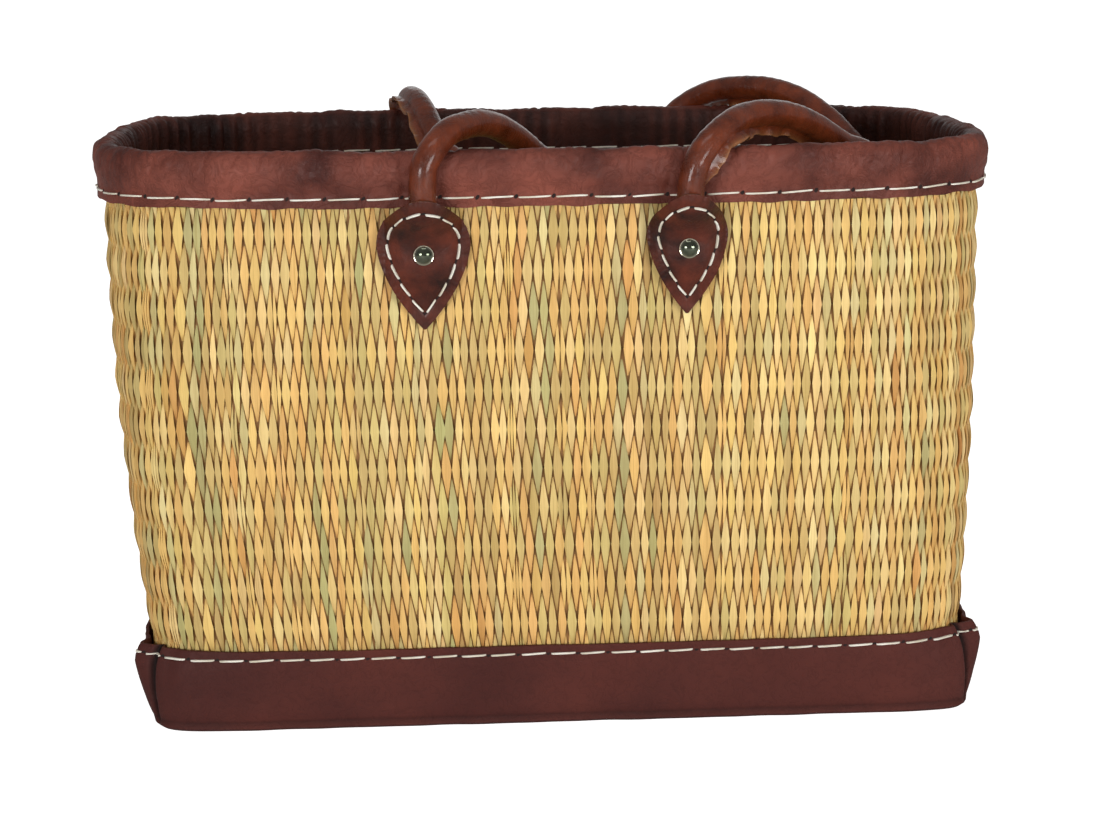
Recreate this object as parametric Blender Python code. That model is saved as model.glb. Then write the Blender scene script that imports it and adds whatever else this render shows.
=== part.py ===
"""Market basket of woven rush: leather rim binding, leather base shoe, two rolled leather handles.

Metres, +Z up, +X to the right, the front faces -Y. The origin is under the middle of the rim, on the floor.
"""

import math

import bmesh
import bpy
import numpy as np
from mathutils import Vector

# Woven body: the outer face of the wall, measured at the rim, and what it loses by the floor.
WALL_TOP = 0.2898
WALL_THICK = 0.006
TOP_HALF_LENGTH = 0.2305
TOP_HALF_DEPTH = 0.1230
LENGTH_TAPER = 0.0175
DEPTH_TAPER = 0.0195
BASE_SHIFT = 0.006
CORNER_POWER_TOP = 4.0
CORNER_POWER_GAIN = 4.2
RING_POINTS = 48

# Fit between touching pieces, and the thickness of the leathers.
GAP = 0.00035
BINDING_THICK = 0.0022
SHOE_THICK = 0.0022
TAB_THICK = 0.0022

# Rim: the binding is folded over the wall's edge and over a rush roll that lies on it.
RIM_TOP = 0.3020
RIM_EDGE = 0.2745
RIM_BULGE = 0.0036
ROLL_RADIUS = 0.0041
ROLL_HEIGHT = 0.2945
RIM_STITCH_HEIGHT = 0.2790
WALL_LEVELS = (SHOE_THICK + 2 * GAP, 0.045, 0.110, 0.180, 0.240, WALL_TOP)
# The strip's section on one side of the wall: (how far it stands off the wall's face, height), its outer
# surface from the hem up, then its inner surface from the fold down.
BINDING_OUTSIDE = (
    (GAP + BINDING_THICK, RIM_EDGE),
    (GAP + BINDING_THICK + 0.0002, 0.2805),
    (RIM_BULGE, 0.2875),
    (RIM_BULGE, 0.2950),
    (RIM_BULGE - 0.0024, 0.3003),
)
BINDING_INSIDE = (
    (RIM_BULGE - BINDING_THICK - 0.0022, 0.2988),
    (RIM_BULGE - BINDING_THICK, 0.2945),
    (RIM_BULGE - BINDING_THICK, 0.2875),
    (GAP, 0.2805),
    (GAP, RIM_EDGE),
)

# Base shoe, with one pinched pleat standing out at each corner.
SHOE_HEIGHT = 0.0440
SHOE_EDGE_RADIUS = 0.0025
PLEAT_REACH = 0.0075
PLEAT_FOOT_SHARE = 0.35
PLEAT_WIDTH = 0.011
PLEAT_ANGLE = math.radians(26.0)
PLEAT_DIRECTION = (0.98, 0.20)
BASE_STITCH_HEIGHT = 0.0395

THREAD_RADIUS = 0.0006

# Tabs: (name, side, x, top height, half width, length). Side is -1 at the front and +1 at the back.
TABS = (
    ("front_left", -1, -0.0642, 0.2765, 0.0232, 0.0630),
    ("front_right", -1, 0.0662, 0.2778, 0.0202, 0.0585),
    ("back_left", 1, -0.0710, 0.2768, 0.0225, 0.0610),
    ("back_right", 1, 0.0780, 0.2768, 0.0215, 0.0600),
)
TAB_ROWS = 12
TAB_COLUMNS = 6
TAB_HOOD_HALF_WIDTH = 0.019
TAB_STITCH_INSET = 0.0047
TAB_STITCH_STAND = 0.0015
RIVET_DROP = 0.0247
# Height of the tab's hollow side over the wall, against the distance below the tab's top.
TAB_HOOD = ((0.0, 0.0189), (0.0048, 0.0176), (0.0112, 0.0121), (0.0175, 0.0067), (0.033, 0.0064), (0.048, 0.0006))

# Rivets
RIVET_HEAD_RADIUS = 0.0050
RIVET_HEAD_HEIGHT = 0.0023
RIVET_SEAT = 0.0096
POST_RADIUS = 0.0017
HOLE_RADIUS = 0.0021
WASHER_RADIUS = 0.0045
WASHER_THICK = 0.0010
ROUND_SIDES = 12

# Handles: a leather sleeve rolled round a cord, lying folded over the rim into the basket.
LEG_LINE = 0.1342
SLEEVE_RADIUS = 0.00675
BORE_RADIUS = 0.00505
CORD_RADIUS = 0.0043
SLEEVE_SIDES = 8
CORD_SIDES = 6
BORE_START = 0.2800
# The leg's flat tongue under the tab: distance below the tab's top, then the section's
# middle over the wall, its half thickness and its half width.
TONGUE = (
    (0.0335, 0.0030, 0.0023, 0.0080),
    (0.0265, 0.0031, 0.0024, 0.0080),
    (0.0175, 0.0033, 0.0026, 0.0078),
    (0.0112, 0.0064, 0.0047, 0.0073),
    (0.0048, 0.0101, 0.0065, 0.0069),
)
# Each arm is given as (inward from the leg's line, height), shared by both arms of a handle.
FRONT_FALL = ((0.0, 0.286), (0.0003, 0.2955), (0.0037, 0.3045), (0.013, 0.3125), (0.025, 0.3165), (0.038, 0.3172),
              (0.052, 0.3135), (0.066, 0.3065), (0.080, 0.2965))
BACK_FALL = ((0.0, 0.286), (0.0003, 0.2950), (0.0037, 0.3037), (0.013, 0.3105), (0.025, 0.3133), (0.038, 0.3130),
             (0.052, 0.3085), (0.066, 0.3005), (0.080, 0.2905))
FRONT_LEFT_LEAN = (-0.0642, -0.0632, -0.0583, -0.0512, -0.0425, -0.0340, -0.0245, -0.0150, -0.0045)
FRONT_RIGHT_LEAN = (0.0668, 0.0695, 0.0757, 0.0860, 0.0960, 0.1110, 0.1265, 0.1405, 0.1560)
BACK_LEFT_LEAN = (-0.0710, -0.0710, -0.0707, -0.0695, -0.0677, -0.0650, -0.0615, -0.0575, -0.0525)
BACK_RIGHT_LEAN = (0.0815, 0.0875, 0.0980, 0.1110, 0.1255, 0.1410, 0.1550, 0.1665, 0.1760)
# The loop that lies in the basket, from the left arm's end to the right arm's: (x, inward, height).
FRONT_LOOP = ((0.004, 0.090, 0.2845), (0.017, 0.100, 0.270), (0.040, 0.108, 0.2575), (0.070, 0.113, 0.249),
              (0.105, 0.114, 0.246), (0.140, 0.114, 0.248), (0.166, 0.112, 0.254), (0.180, 0.107, 0.264),
              (0.181, 0.099, 0.277), (0.170, 0.090, 0.289))
BACK_LOOP = ((-0.047, 0.091, 0.2815), (-0.033, 0.101, 0.272), (-0.008, 0.107, 0.264), (0.030, 0.110, 0.259),
             (0.070, 0.111, 0.257), (0.110, 0.1105, 0.258), (0.145, 0.108, 0.262), (0.170, 0.102, 0.269),
             (0.182, 0.091, 0.280))
# Hinge axes run along X on the outer side of the bend: (inward, height), with the bend's slope there.
FRONT_HINGES = ((-0.0020, 0.3092, 54.0), (0.0410, 0.3244, -8.0))
BACK_HINGES = ((-0.0020, 0.3082, 54.0), (0.0412, 0.3200, -8.0))
CUT_CLEARANCE = 0.0002
SLEEVE_STEP = 0.0125

SIDE_OF = {"front": -1, "back": 1}


def clear_scene():
    for old in list(bpy.data.objects):
        bpy.data.objects.remove(old, do_unlink=True)


def material(name, colour, roughness, metallic=0.0):
    made = bpy.data.materials.new(name)
    made.use_nodes = True
    shader = made.node_tree.nodes["Principled BSDF"]
    shader.inputs["Base Color"].default_value = (*colour, 1.0)
    shader.inputs["Roughness"].default_value = roughness
    shader.inputs["Metallic"].default_value = metallic
    return made


def add_object(name, rows_of_points, faces, finish, smooth_angle=40.0):
    """One closed body from its points and faces, with its faces pointing out."""
    mesh = bpy.data.meshes.new(name)
    mesh.from_pydata([tuple(p) for p in rows_of_points], [], faces)
    work = bmesh.new()
    work.from_mesh(mesh)
    bmesh.ops.recalc_face_normals(work, faces=work.faces)
    work.to_mesh(mesh)
    work.free()
    mesh.materials.append(finish)
    mesh.shade_smooth()
    mesh.set_sharp_from_angle(angle=math.radians(smooth_angle))
    made = bpy.data.objects.new(name, mesh)
    bpy.context.collection.objects.link(made)
    return made


def wall_size(height):
    """Half length, half depth and sideways shift of the wall's outer face at a height."""
    drop = min(max(1.0 - height / WALL_TOP, 0.0), 1.0)
    half_length = TOP_HALF_LENGTH - LENGTH_TAPER * drop ** 2.2
    half_depth = TOP_HALF_DEPTH - DEPTH_TAPER * drop ** 1.4
    return half_length, half_depth, BASE_SHIFT * drop ** 2


def corner_power(height):
    """How square the outline is: an oval at the mouth, nearly a rectangle at the foot."""
    drop = min(max(1.0 - height / WALL_TOP, 0.0), 1.0)
    return CORNER_POWER_TOP + CORNER_POWER_GAIN * drop ** 1.6


def signed_power(value, power):
    return np.sign(value) * np.abs(value) ** power


def wall_outline(angles, height, offset):
    """Points round the basket at a height, moved out from the wall's outer face by offset."""
    half_length, half_depth, shift = wall_size(height)
    power = corner_power(height)
    x = half_length * signed_power(np.cos(angles), 2.0 / power)
    y = half_depth * signed_power(np.sin(angles), 2.0 / power)
    out_x = signed_power(x / half_length, power - 1.0) / half_length
    out_y = signed_power(y / half_depth, power - 1.0) / half_depth
    length = np.hypot(out_x, out_y)
    return x + shift + offset * out_x / length, y + offset * out_y / length


def ring_angles():
    """Angles round the outline, closer together where it turns."""
    dense = np.linspace(0.0, 2.0 * math.pi, 4001)
    x, y = wall_outline(dense + 1e-9, WALL_TOP, 0.0)
    step_x, step_y = np.diff(x), np.diff(y)
    heading = np.unwrap(np.arctan2(step_y, step_x))
    turn = np.abs(np.gradient(heading))
    travel = np.hypot(step_x, step_y) + 0.10 * turn
    along = np.concatenate(([0.0], np.cumsum(travel)))
    wanted = (np.arange(RING_POINTS) + 0.5) / RING_POINTS * along[-1]
    return np.interp(wanted, along, dense)


ANGLES = ring_angles()


def ring(height, offset):
    x, y = wall_outline(ANGLES, height, offset)
    return [(a, b, height) for a, b in zip(x, y)]


def band_faces(first, second, count):
    """Quads between two rings whose points start at the two indices."""
    return [(first + i, first + (i + 1) % count, second + (i + 1) % count, second + i) for i in range(count)]


def hoop(name, section, finish, outline=ring):
    """A closed band round the basket from a closed section of (offset, height) points."""
    points = []
    for offset, height in section:
        points += outline(height, offset)
    faces = []
    for k in range(len(section)):
        faces += band_faces(k * RING_POINTS, (k + 1) % len(section) * RING_POINTS, RING_POINTS)
    return add_object(name, points, faces, finish)


def woven_wall(finish):
    """The wall is one woven mat bent into a tube, its strands upright, sewn at one end."""
    outside = [(0.0, z) for z in WALL_LEVELS]
    inside = [(-WALL_THICK, z) for z in reversed(WALL_LEVELS)]
    return hoop("woven_wall", outside + inside, finish)


def woven_bottom(finish):
    """A flat woven panel that fills the foot of the wall and lies on the shoe's sole."""
    low = SHOE_THICK + 2 * GAP
    points = ring(low, -WALL_THICK - GAP) + ring(low + WALL_THICK, -WALL_THICK - GAP)
    faces = band_faces(0, RING_POINTS, RING_POINTS)
    faces.append(tuple(range(RING_POINTS)))
    faces.append(tuple(range(RING_POINTS, 2 * RING_POINTS)))
    return add_object("woven_bottom", points, faces, finish)


def rim_roll(finish):
    """The roll of rush that fills the fold of the binding and stiffens the mouth."""
    turns = [2 * math.pi * k / CORD_SIDES for k in range(CORD_SIDES)]
    section = [(-WALL_THICK / 2 + ROLL_RADIUS * math.cos(t), ROLL_HEIGHT + ROLL_RADIUS * math.sin(t)) for t in turns]
    return hoop("rim_roll", section, finish)


def rim_binding(finish):
    """One strip of leather folded over the edge, puffed by the roll and pulled flat at its two hems."""
    middle = -WALL_THICK / 2
    outer = [(stand - middle, z) for stand, z in BINDING_OUTSIDE]
    inner = [(stand - middle, z) for stand, z in BINDING_INSIDE]
    section = [(middle + w, z) for w, z in outer]
    section.append((middle, RIM_TOP))
    section += [(middle - w, z) for w, z in reversed(outer)]
    section += [(middle - w, z) for w, z in reversed(inner)]
    section.append((middle, RIM_TOP - BINDING_THICK))
    section += [(middle + w, z) for w, z in inner]
    return hoop("rim_binding", section, finish)


def thread_hoop(name, offset, height, finish, outline=ring):
    """A run of waxed thread round the basket, lying on the leather or on the weave."""
    turns = [2 * math.pi * (k + 0.5) / 4 for k in range(4)]
    section = [(offset + THREAD_RADIUS * math.cos(t), height + THREAD_RADIUS * math.sin(t)) for t in turns]
    return hoop(name, section, finish, outline)


def pleat_reach(height):
    """How far the corner pleats stand out: full at the hem, little at the sole."""
    return PLEAT_REACH * (PLEAT_FOOT_SHARE + (1.0 - PLEAT_FOOT_SHARE) * height / SHOE_HEIGHT)


def shoe_ring(height, offset):
    """The shoe's outer outline, with a pinched pleat at each of the four corners."""
    x, y = wall_outline(ANGLES, height, offset)
    turn = PLEAT_ANGLE
    cx, cy = wall_outline(np.array([turn, math.pi - turn, math.pi + turn, -turn]), height, offset)
    for px, py in zip(cx, cy):
        away = np.hypot(x - px, y - py)
        reach = pleat_reach(height) * np.exp(-((away / PLEAT_WIDTH) ** 2))
        x = x + reach * PLEAT_DIRECTION[0] * np.sign(px)
        y = y + reach * PLEAT_DIRECTION[1] * np.sign(py)
    return [(a, b, height) for a, b in zip(x, y)]


def base_shoe(finish):
    """A leather tray: a flat sole and a side turned up round the foot of the wall."""
    side = GAP + SHOE_THICK
    rows = [
        shoe_ring(0.0, side - SHOE_EDGE_RADIUS),
        shoe_ring(SHOE_EDGE_RADIUS, side),
        shoe_ring(SHOE_HEIGHT / 2, side),
        shoe_ring(SHOE_HEIGHT, side),
        ring(SHOE_HEIGHT, GAP),
        ring(SHOE_HEIGHT / 2, GAP),
        ring(SHOE_THICK, GAP),
    ]
    points = [p for row in rows for p in row]
    faces = []
    for k in range(len(rows) - 1):
        faces += band_faces(k * RING_POINTS, (k + 1) * RING_POINTS, RING_POINTS)
    faces.append(tuple(range(RING_POINTS)))
    last = (len(rows) - 1) * RING_POINTS
    faces.append(tuple(range(last, last + RING_POINTS)))
    return add_object("base_shoe", points, faces, finish)


def wall_face(x, height):
    """Distance of the wall's outer face from the middle plane, on the long sides."""
    half_length, half_depth, shift = wall_size(height)
    across = min(abs(x - shift) / half_length, 0.98)
    power = corner_power(height)
    return half_depth * (1.0 - across ** power) ** (1.0 / power)


def tab_half_width(share, half_width):
    """Half width of the teardrop at a share of its length: blunt top, widest at a third, pointed tip."""
    if share < 0.3:
        rise = 1.0 - share / 0.3
        return half_width * (0.42 + 0.58 * math.sqrt(max(1.0 - rise ** 2.2, 0.0)))
    fall = (share - 0.3) / 0.7
    return half_width * (1.0 - fall ** 1.75) + 0.0006 * fall


def tab_surface(tab, across, drop, lift):
    """A point of the tab, across from its middle line and drop below its top, lifted off its hollow side."""
    _, side, middle, top, _, _ = tab
    height = top - drop
    over_binding = min(max((height - (RIM_EDGE - 0.006)) / 0.005, 0.0), 1.0)
    low = GAP + (BINDING_THICK + GAP) * over_binding
    crown = max(float(np.interp(drop, [d for d, _ in TAB_HOOD], [h for _, h in TAB_HOOD])), low)
    arch = max(1.0 - (abs(across) / TAB_HOOD_HALF_WIDTH) ** 2.3, 0.0)
    off = low + (crown - low) * arch + lift
    return (middle + across, side * (wall_face(middle + across, height) + off), height)


def tab_plate(tab, finish):
    """A teardrop of leather, raised in the middle over the handle's flat end."""
    name, _, _, _, half_width, length = tab
    shares = [(k / TAB_ROWS) for k in range(TAB_ROWS + 1)]
    columns = [2.0 * j / TAB_COLUMNS - 1.0 for j in range(TAB_COLUMNS + 1)]
    points = []
    for lift in (0.0, TAB_THICK):
        for share in shares:
            wide = tab_half_width(share, half_width)
            points += [tab_surface(tab, wide * c, share * length, lift) for c in columns]
    across = TAB_COLUMNS + 1
    sheet = across * (TAB_ROWS + 1)
    faces = []
    for r in range(TAB_ROWS):
        for c in range(TAB_COLUMNS):
            a = r * across + c
            faces.append((a, a + 1, a + 1 + across, a + across))
            faces.append((sheet + a, sheet + a + across, sheet + a + across + 1, sheet + a + 1))
    edge = list(range(across))
    edge += [r * across + TAB_COLUMNS for r in range(1, TAB_ROWS + 1)]
    edge += [TAB_ROWS * across + c for c in range(TAB_COLUMNS - 1, -1, -1)]
    edge += [r * across for r in range(TAB_ROWS - 1, 0, -1)]
    for a, b in zip(edge, edge[1:] + edge[:1]):
        faces.append((a, b, sheet + b, sheet + a))
    return add_object("tab_" + name, points, faces, finish)


def tab_thread(tab, finish):
    """The seam that runs round the tab a little inside its edge."""
    name, side, _, _, half_width, length = tab
    steps = 11
    right = []
    for k in range(steps + 1):
        share = TAB_STITCH_INSET / length + (1.0 - 2.3 * TAB_STITCH_INSET / length) * k / steps
        wide = max(tab_half_width(share, half_width) - TAB_STITCH_INSET, 0.0012)
        right.append((wide, share * length))
    top_width, top_drop = right[0]
    over = [(top_width * c, top_drop) for c in (-0.5, 0.0, 0.5)]
    track = over + right + [(-w, d) for w, d in reversed(right)]
    lift = TAB_THICK + GAP + THREAD_RADIUS + TAB_STITCH_STAND
    middle = [Vector(tab_surface(tab, w, d, lift)) for w, d in track]
    count = len(middle)
    points = []
    for k in range(count):
        along = (middle[(k + 1) % count] - middle[k - 1]).normalized()
        out = Vector((0.0, side, 0.0))
        beside = along.cross(out).normalized()
        for turn in range(3):
            angle = 2 * math.pi * turn / 3
            points.append(middle[k] + THREAD_RADIUS * (math.cos(angle) * beside + math.sin(angle) * out))
    faces = []
    for k in range(count):
        for turn in range(3):
            nxt = (turn + 1) % 3
            after = (k + 1) % count
            faces.append((k * 3 + turn, k * 3 + nxt, after * 3 + nxt, after * 3 + turn))
    return add_object("tab_stitch_" + name, points, faces, finish)


def turned(name, side, x, height, profile, finish):
    """A round piece on an axis along Y, from (radius, distance from the wall's outer face) points."""
    base = wall_face(x, height)
    points = []
    closed = profile[0][0] > 0.0
    faces = []
    rows = []
    for radius, out in profile:
        y = side * (base + out)
        if radius == 0.0:
            rows.append([len(points)])
            points.append((x, y, height))
            continue
        rows.append(list(range(len(points), len(points) + ROUND_SIDES)))
        for k in range(ROUND_SIDES):
            angle = 2 * math.pi * k / ROUND_SIDES
            points.append((x + radius * math.cos(angle), y, height + radius * math.sin(angle)))
    pairs = list(zip(rows, rows[1:]))
    if closed:
        pairs.append((rows[-1], rows[0]))
    for one, two in pairs:
        for k in range(ROUND_SIDES):
            nxt = (k + 1) % ROUND_SIDES
            corners = [one[k % len(one)], one[nxt % len(one)], two[nxt % len(two)], two[k % len(two)]]
            faces.append(tuple(dict.fromkeys(corners)))
    return add_object(name, points, faces, finish, 30.0)


def rivet(tab, finish):
    """A domed cap with its post, which goes through tab, handle end, wall and washer."""
    name, side, x, top, _, _ = tab
    post_end = -WALL_THICK - 0.0006 - WASHER_THICK - 0.0009
    profile = (
        (0.0, RIVET_SEAT + RIVET_HEAD_HEIGHT),
        (RIVET_HEAD_RADIUS * 0.55, RIVET_SEAT + RIVET_HEAD_HEIGHT * 0.86),
        (RIVET_HEAD_RADIUS * 0.88, RIVET_SEAT + RIVET_HEAD_HEIGHT * 0.5),
        (RIVET_HEAD_RADIUS, RIVET_SEAT),
        (POST_RADIUS, RIVET_SEAT),
        (POST_RADIUS, post_end),
        (0.0, post_end),
    )
    return turned("rivet_" + name, side, x, top - RIVET_DROP, profile, finish)


def washer(tab, finish):
    """The ring that the post is peened over, against the inner face of the wall."""
    name, side, x, top, _, _ = tab
    near = -WALL_THICK - 0.0006
    far = near - WASHER_THICK
    profile = ((HOLE_RADIUS, near), (WASHER_RADIUS, near), (WASHER_RADIUS, far), (HOLE_RADIUS, far))
    return turned("rivet_washer_" + name, side, x, top - RIVET_DROP, profile, finish)


def hole_cutter(tab):
    """A guide that bores the tab, the tongue and the wall for the rivet's post."""
    name, side, x, top, _, _ = tab
    profile = ((0.0, 0.02), (HOLE_RADIUS, 0.02), (HOLE_RADIUS, -0.02), (0.0, -0.02))
    made = turned("cutter_" + name, side, x, top - RIVET_DROP, profile, None)
    made.hide_render = True
    made.display_type = "WIRE"
    return made


def bore(target, cutter):
    cut = target.modifiers.new("rivet_hole", "BOOLEAN")
    cut.operation = "DIFFERENCE"
    cut.solver = "EXACT"
    cut.object = cutter


def smooth_line(knots, per_span=24):
    """A smooth curve through the knots, as closely spaced points."""
    ends = [2 * knots[0] - knots[1], *knots, 2 * knots[-1] - knots[-2]]
    line = []
    for a, b, c, d in zip(ends, ends[1:], ends[2:], ends[3:]):
        for k in range(per_span):
            t = k / per_span
            line.append(0.5 * (2 * b + (c - a) * t + (2 * a - 5 * b + 4 * c - d) * t * t
                               + (3 * b - a - 3 * c + d) * t ** 3))
    line.append(knots[-1].copy())
    return line


def handle_line(side, fall, left_lean, right_lean, loop):
    """The handle's middle line from the left leg, through the loop, to the right leg."""
    def place(x, inward, height):
        return Vector((x, side * (LEG_LINE - inward), height))

    left = [place(x, w, z) for x, (w, z) in zip(left_lean, fall)]
    right = [place(x, w, z) for x, (w, z) in zip(right_lean, fall)]
    return smooth_line(left + [place(*p) for p in loop] + right[::-1])


def tangents(line):
    found = []
    for k in range(len(line)):
        found.append((line[min(k + 1, len(line) - 1)] - line[max(k - 1, 0)]).normalized())
    return found


def hinge_plane(side, hinge):
    """A point on the hinge axis and the direction across the cut, pointing away from the leg."""
    inward, height, slope = hinge
    angle = math.radians(slope)
    return Vector((0.0, side * (LEG_LINE - inward), height)), Vector((0.0, -side * math.cos(angle), math.sin(angle)))


def stretch(line, start, end):
    """The points of the line between two planes, each a point, a normal and a clearance."""
    def past(point, plane):
        return (point - plane[0]).dot(plane[1]) - plane[2]

    def crossing(a, b, plane):
        return a.lerp(b, past(a, plane) / (past(a, plane) - past(b, plane)))

    first = 0
    if start:
        first = next(k for k in range(1, len(line)) if past(line[k - 1], start) < 0 <= past(line[k], start))
    last = len(line)
    if end:
        last = next(k for k in range(max(first, 1), len(line)) if past(line[k - 1], end) < 0 <= past(line[k], end))
    kept = list(line[first:last])
    if start:
        kept.insert(0, crossing(line[first - 1], line[first], start))
    if end:
        kept.append(crossing(line[last - 1], line[last], end))
    return kept


def resample(line, step):
    along = np.concatenate(([0.0], np.cumsum([(b - a).length for a, b in zip(line, line[1:])])))
    count = max(int(round(along[-1] / step)), 2)
    wanted = np.linspace(0.0, along[-1], count + 1)
    parts = [np.interp(wanted, along, [p[axis] for p in line]) for axis in range(3)]
    return [Vector(p) for p in zip(*parts)]


def flat_normal(tangent):
    return Vector((0.0, tangent.y, tangent.z)).normalized()


def section_points(centre, tangent, normal, half_width, half_thick, side_axis, sides):
    """A ring of a sleeve, cut by the plane across normal."""
    out_axis = side_axis.cross(tangent).normalized()
    ring_points = []
    for k in range(sides):
        angle = 2 * math.pi * (k + 0.5) / sides
        reach = half_width * math.cos(angle) * side_axis + half_thick * math.sin(angle) * out_axis
        ring_points.append(centre + reach - tangent * (reach.dot(normal) / tangent.dot(normal)))
    return ring_points


def side_axes(line_tangents):
    """One axis across the sleeve at each point, carried along without twist."""
    start = line_tangents[0]
    axis = Vector((1.0, 0.0, 0.0))
    axis = (axis - start * axis.dot(start)).normalized()
    axes = [axis]
    for tangent in line_tangents[1:]:
        axis = (axis - tangent * axis.dot(tangent)).normalized()
        axes.append(axis)
    return axes


def tube(name, centres, along, normals, outer, inner, sides, finish, first_bore=0):
    """A sleeve, hollow from ring first_bore on. Each outer entry is (half width, half thickness)."""
    axes = side_axes(along)
    points = []
    for k, centre in enumerate(centres):
        points += section_points(centre, along[k], normals[k], *outer[k], axes[k], sides)
    faces = []
    for k in range(len(centres) - 1):
        faces += band_faces(k * sides, (k + 1) * sides, sides)
    if inner is None:
        faces.append(tuple(range(sides)))
        faces.append(tuple(range((len(centres) - 1) * sides, len(centres) * sides)))
        return add_object(name, points, faces, finish, 60.0)
    hollow = list(range(first_bore, len(centres)))
    base = len(points)
    for k in hollow:
        points += section_points(centres[k], along[k], normals[k], inner, inner, axes[k], sides)
    for k in range(len(hollow) - 1):
        faces += band_faces(base + k * sides, base + (k + 1) * sides, sides)
    faces += band_faces((len(centres) - 1) * sides, base + (len(hollow) - 1) * sides, sides)
    if first_bore == 0:
        faces += band_faces(0, base, sides)
    else:
        faces.append(tuple(range(sides)))
        faces.append(tuple(range(base, base + sides)))
    return add_object(name, points, faces, finish, 60.0)


def leg(name, tab, side, line, plane, leather, cord):
    """The arm's lower end: a flat tongue under the tab, then a round sleeve up to the first bend."""
    x, top = tab[2], tab[3]
    centres = [Vector((x, side * (wall_face(x, top - d) + c), top - d)) for d, c, _, _ in TONGUE]
    outer = [(w, t) for _, _, t, w in TONGUE]
    upper = [p for p in line if p.z > BORE_START]
    rise = resample(stretch(upper, None, (plane[0], plane[1], -CUT_CLEARANCE)), SLEEVE_STEP * 0.5)
    first_bore = len(centres)
    centres += rise
    outer += [(SLEEVE_RADIUS, SLEEVE_RADIUS)] * len(rise)
    along = tangents(centres)
    normals = [Vector((0.0, 0.0, 1.0))] * first_bore + [flat_normal(t) for t in along[first_bore:]]
    normals[-1] = plane[1]
    sleeve = tube("handle_" + name, centres, along, normals, outer, BORE_RADIUS, SLEEVE_SIDES, leather, first_bore)
    inside = [rise[0] + along[first_bore] * GAP * 1.5, *rise[1:]]
    cord_sizes = [(CORD_RADIUS, CORD_RADIUS)] * len(inside)
    core = tube("cord_" + name, inside, along[first_bore:], normals[first_bore:], cord_sizes, None, CORD_SIDES, cord)
    return sleeve, core


def sleeve_and_cord(name, centres, normals, leather, cord):
    along = tangents(centres)
    sizes = [(SLEEVE_RADIUS, SLEEVE_RADIUS)] * len(centres)
    sleeve = tube("handle_" + name, centres, along, normals, sizes, BORE_RADIUS, SLEEVE_SIDES, leather)
    sizes = [(CORD_RADIUS, CORD_RADIUS)] * len(centres)
    core = tube("cord_" + name, centres, along, normals, sizes, None, CORD_SIDES, cord)
    return sleeve, core


def arch(name, line, start, end, leather, cord):
    """The stretch of one arm between the two bends."""
    cut = stretch(line, (start[0], start[1], CUT_CLEARANCE), (end[0], end[1], -CUT_CLEARANCE))
    centres = resample(cut, SLEEVE_STEP)
    normals = [flat_normal(t) for t in tangents(centres)]
    normals[0] = start[1]
    normals[-1] = end[1]
    return sleeve_and_cord(name, centres, normals, leather, cord)


def loop_normals(centres, plane):
    """Cuts across the loop: on the hinge's plane at both ends, square to the sleeve in between."""
    along = tangents(centres)
    easing = 4
    found = []
    for k, tangent in enumerate(along):
        near = min(k, len(along) - 1 - k) / easing
        toward = plane[1] if tangent.dot(plane[1]) > 0 else -plane[1]
        found.append(toward.lerp(tangent, min(near, 1.0)).normalized())
    return found


def loop(name, line, plane, leather, cord):
    """The grip: the long stretch between the two second bends."""
    start = (plane[0], plane[1], CUT_CLEARANCE)
    end = (plane[0], -plane[1], -CUT_CLEARANCE)
    cut = stretch(stretch(line, start, None), None, end)
    centres = resample(cut, SLEEVE_STEP)
    return sleeve_and_cord(name, centres, loop_normals(centres, plane), leather, cord)


def empty(name, place, parent=None):
    made = bpy.data.objects.new(name, None)
    bpy.context.collection.objects.link(made)
    made.location = place - (parent.location if parent else Vector())
    made.parent = parent
    return made


def hang(pieces, pivot, place):
    """Put the pieces' origin on the pivot's axis and parent them to it."""
    for piece in pieces:
        for vertex in piece.data.vertices:
            vertex.co -= place
        piece.parent = pivot


def handle(where, fall, left_lean, right_lean, loop_route, hinges, leather, cord):
    side = SIDE_OF[where]
    line = handle_line(side, fall, left_lean, right_lean, loop_route)
    tabs = {tab[0]: tab for tab in TABS}
    first = hinge_plane(side, hinges[0])
    second = hinge_plane(side, hinges[1])
    fold_pivot = empty(where + "_fold_axis", first[0])
    flex_pivot = empty(where + "_flex_axis", second[0], fold_pivot)
    legs = []
    for hand, arm in (("left", line), ("right", line[::-1])):
        legs.append(leg(f"{where}_leg_{hand}", tabs[f"{where}_{hand}"], side, arm, first, leather, cord)[0])
        hang(arch(f"{where}_arch_{hand}", arm, first, second, leather, cord), fold_pivot, first[0])
    hang(loop(f"{where}_loop", line, second, leather, cord), flex_pivot, second[0])
    return legs


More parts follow.
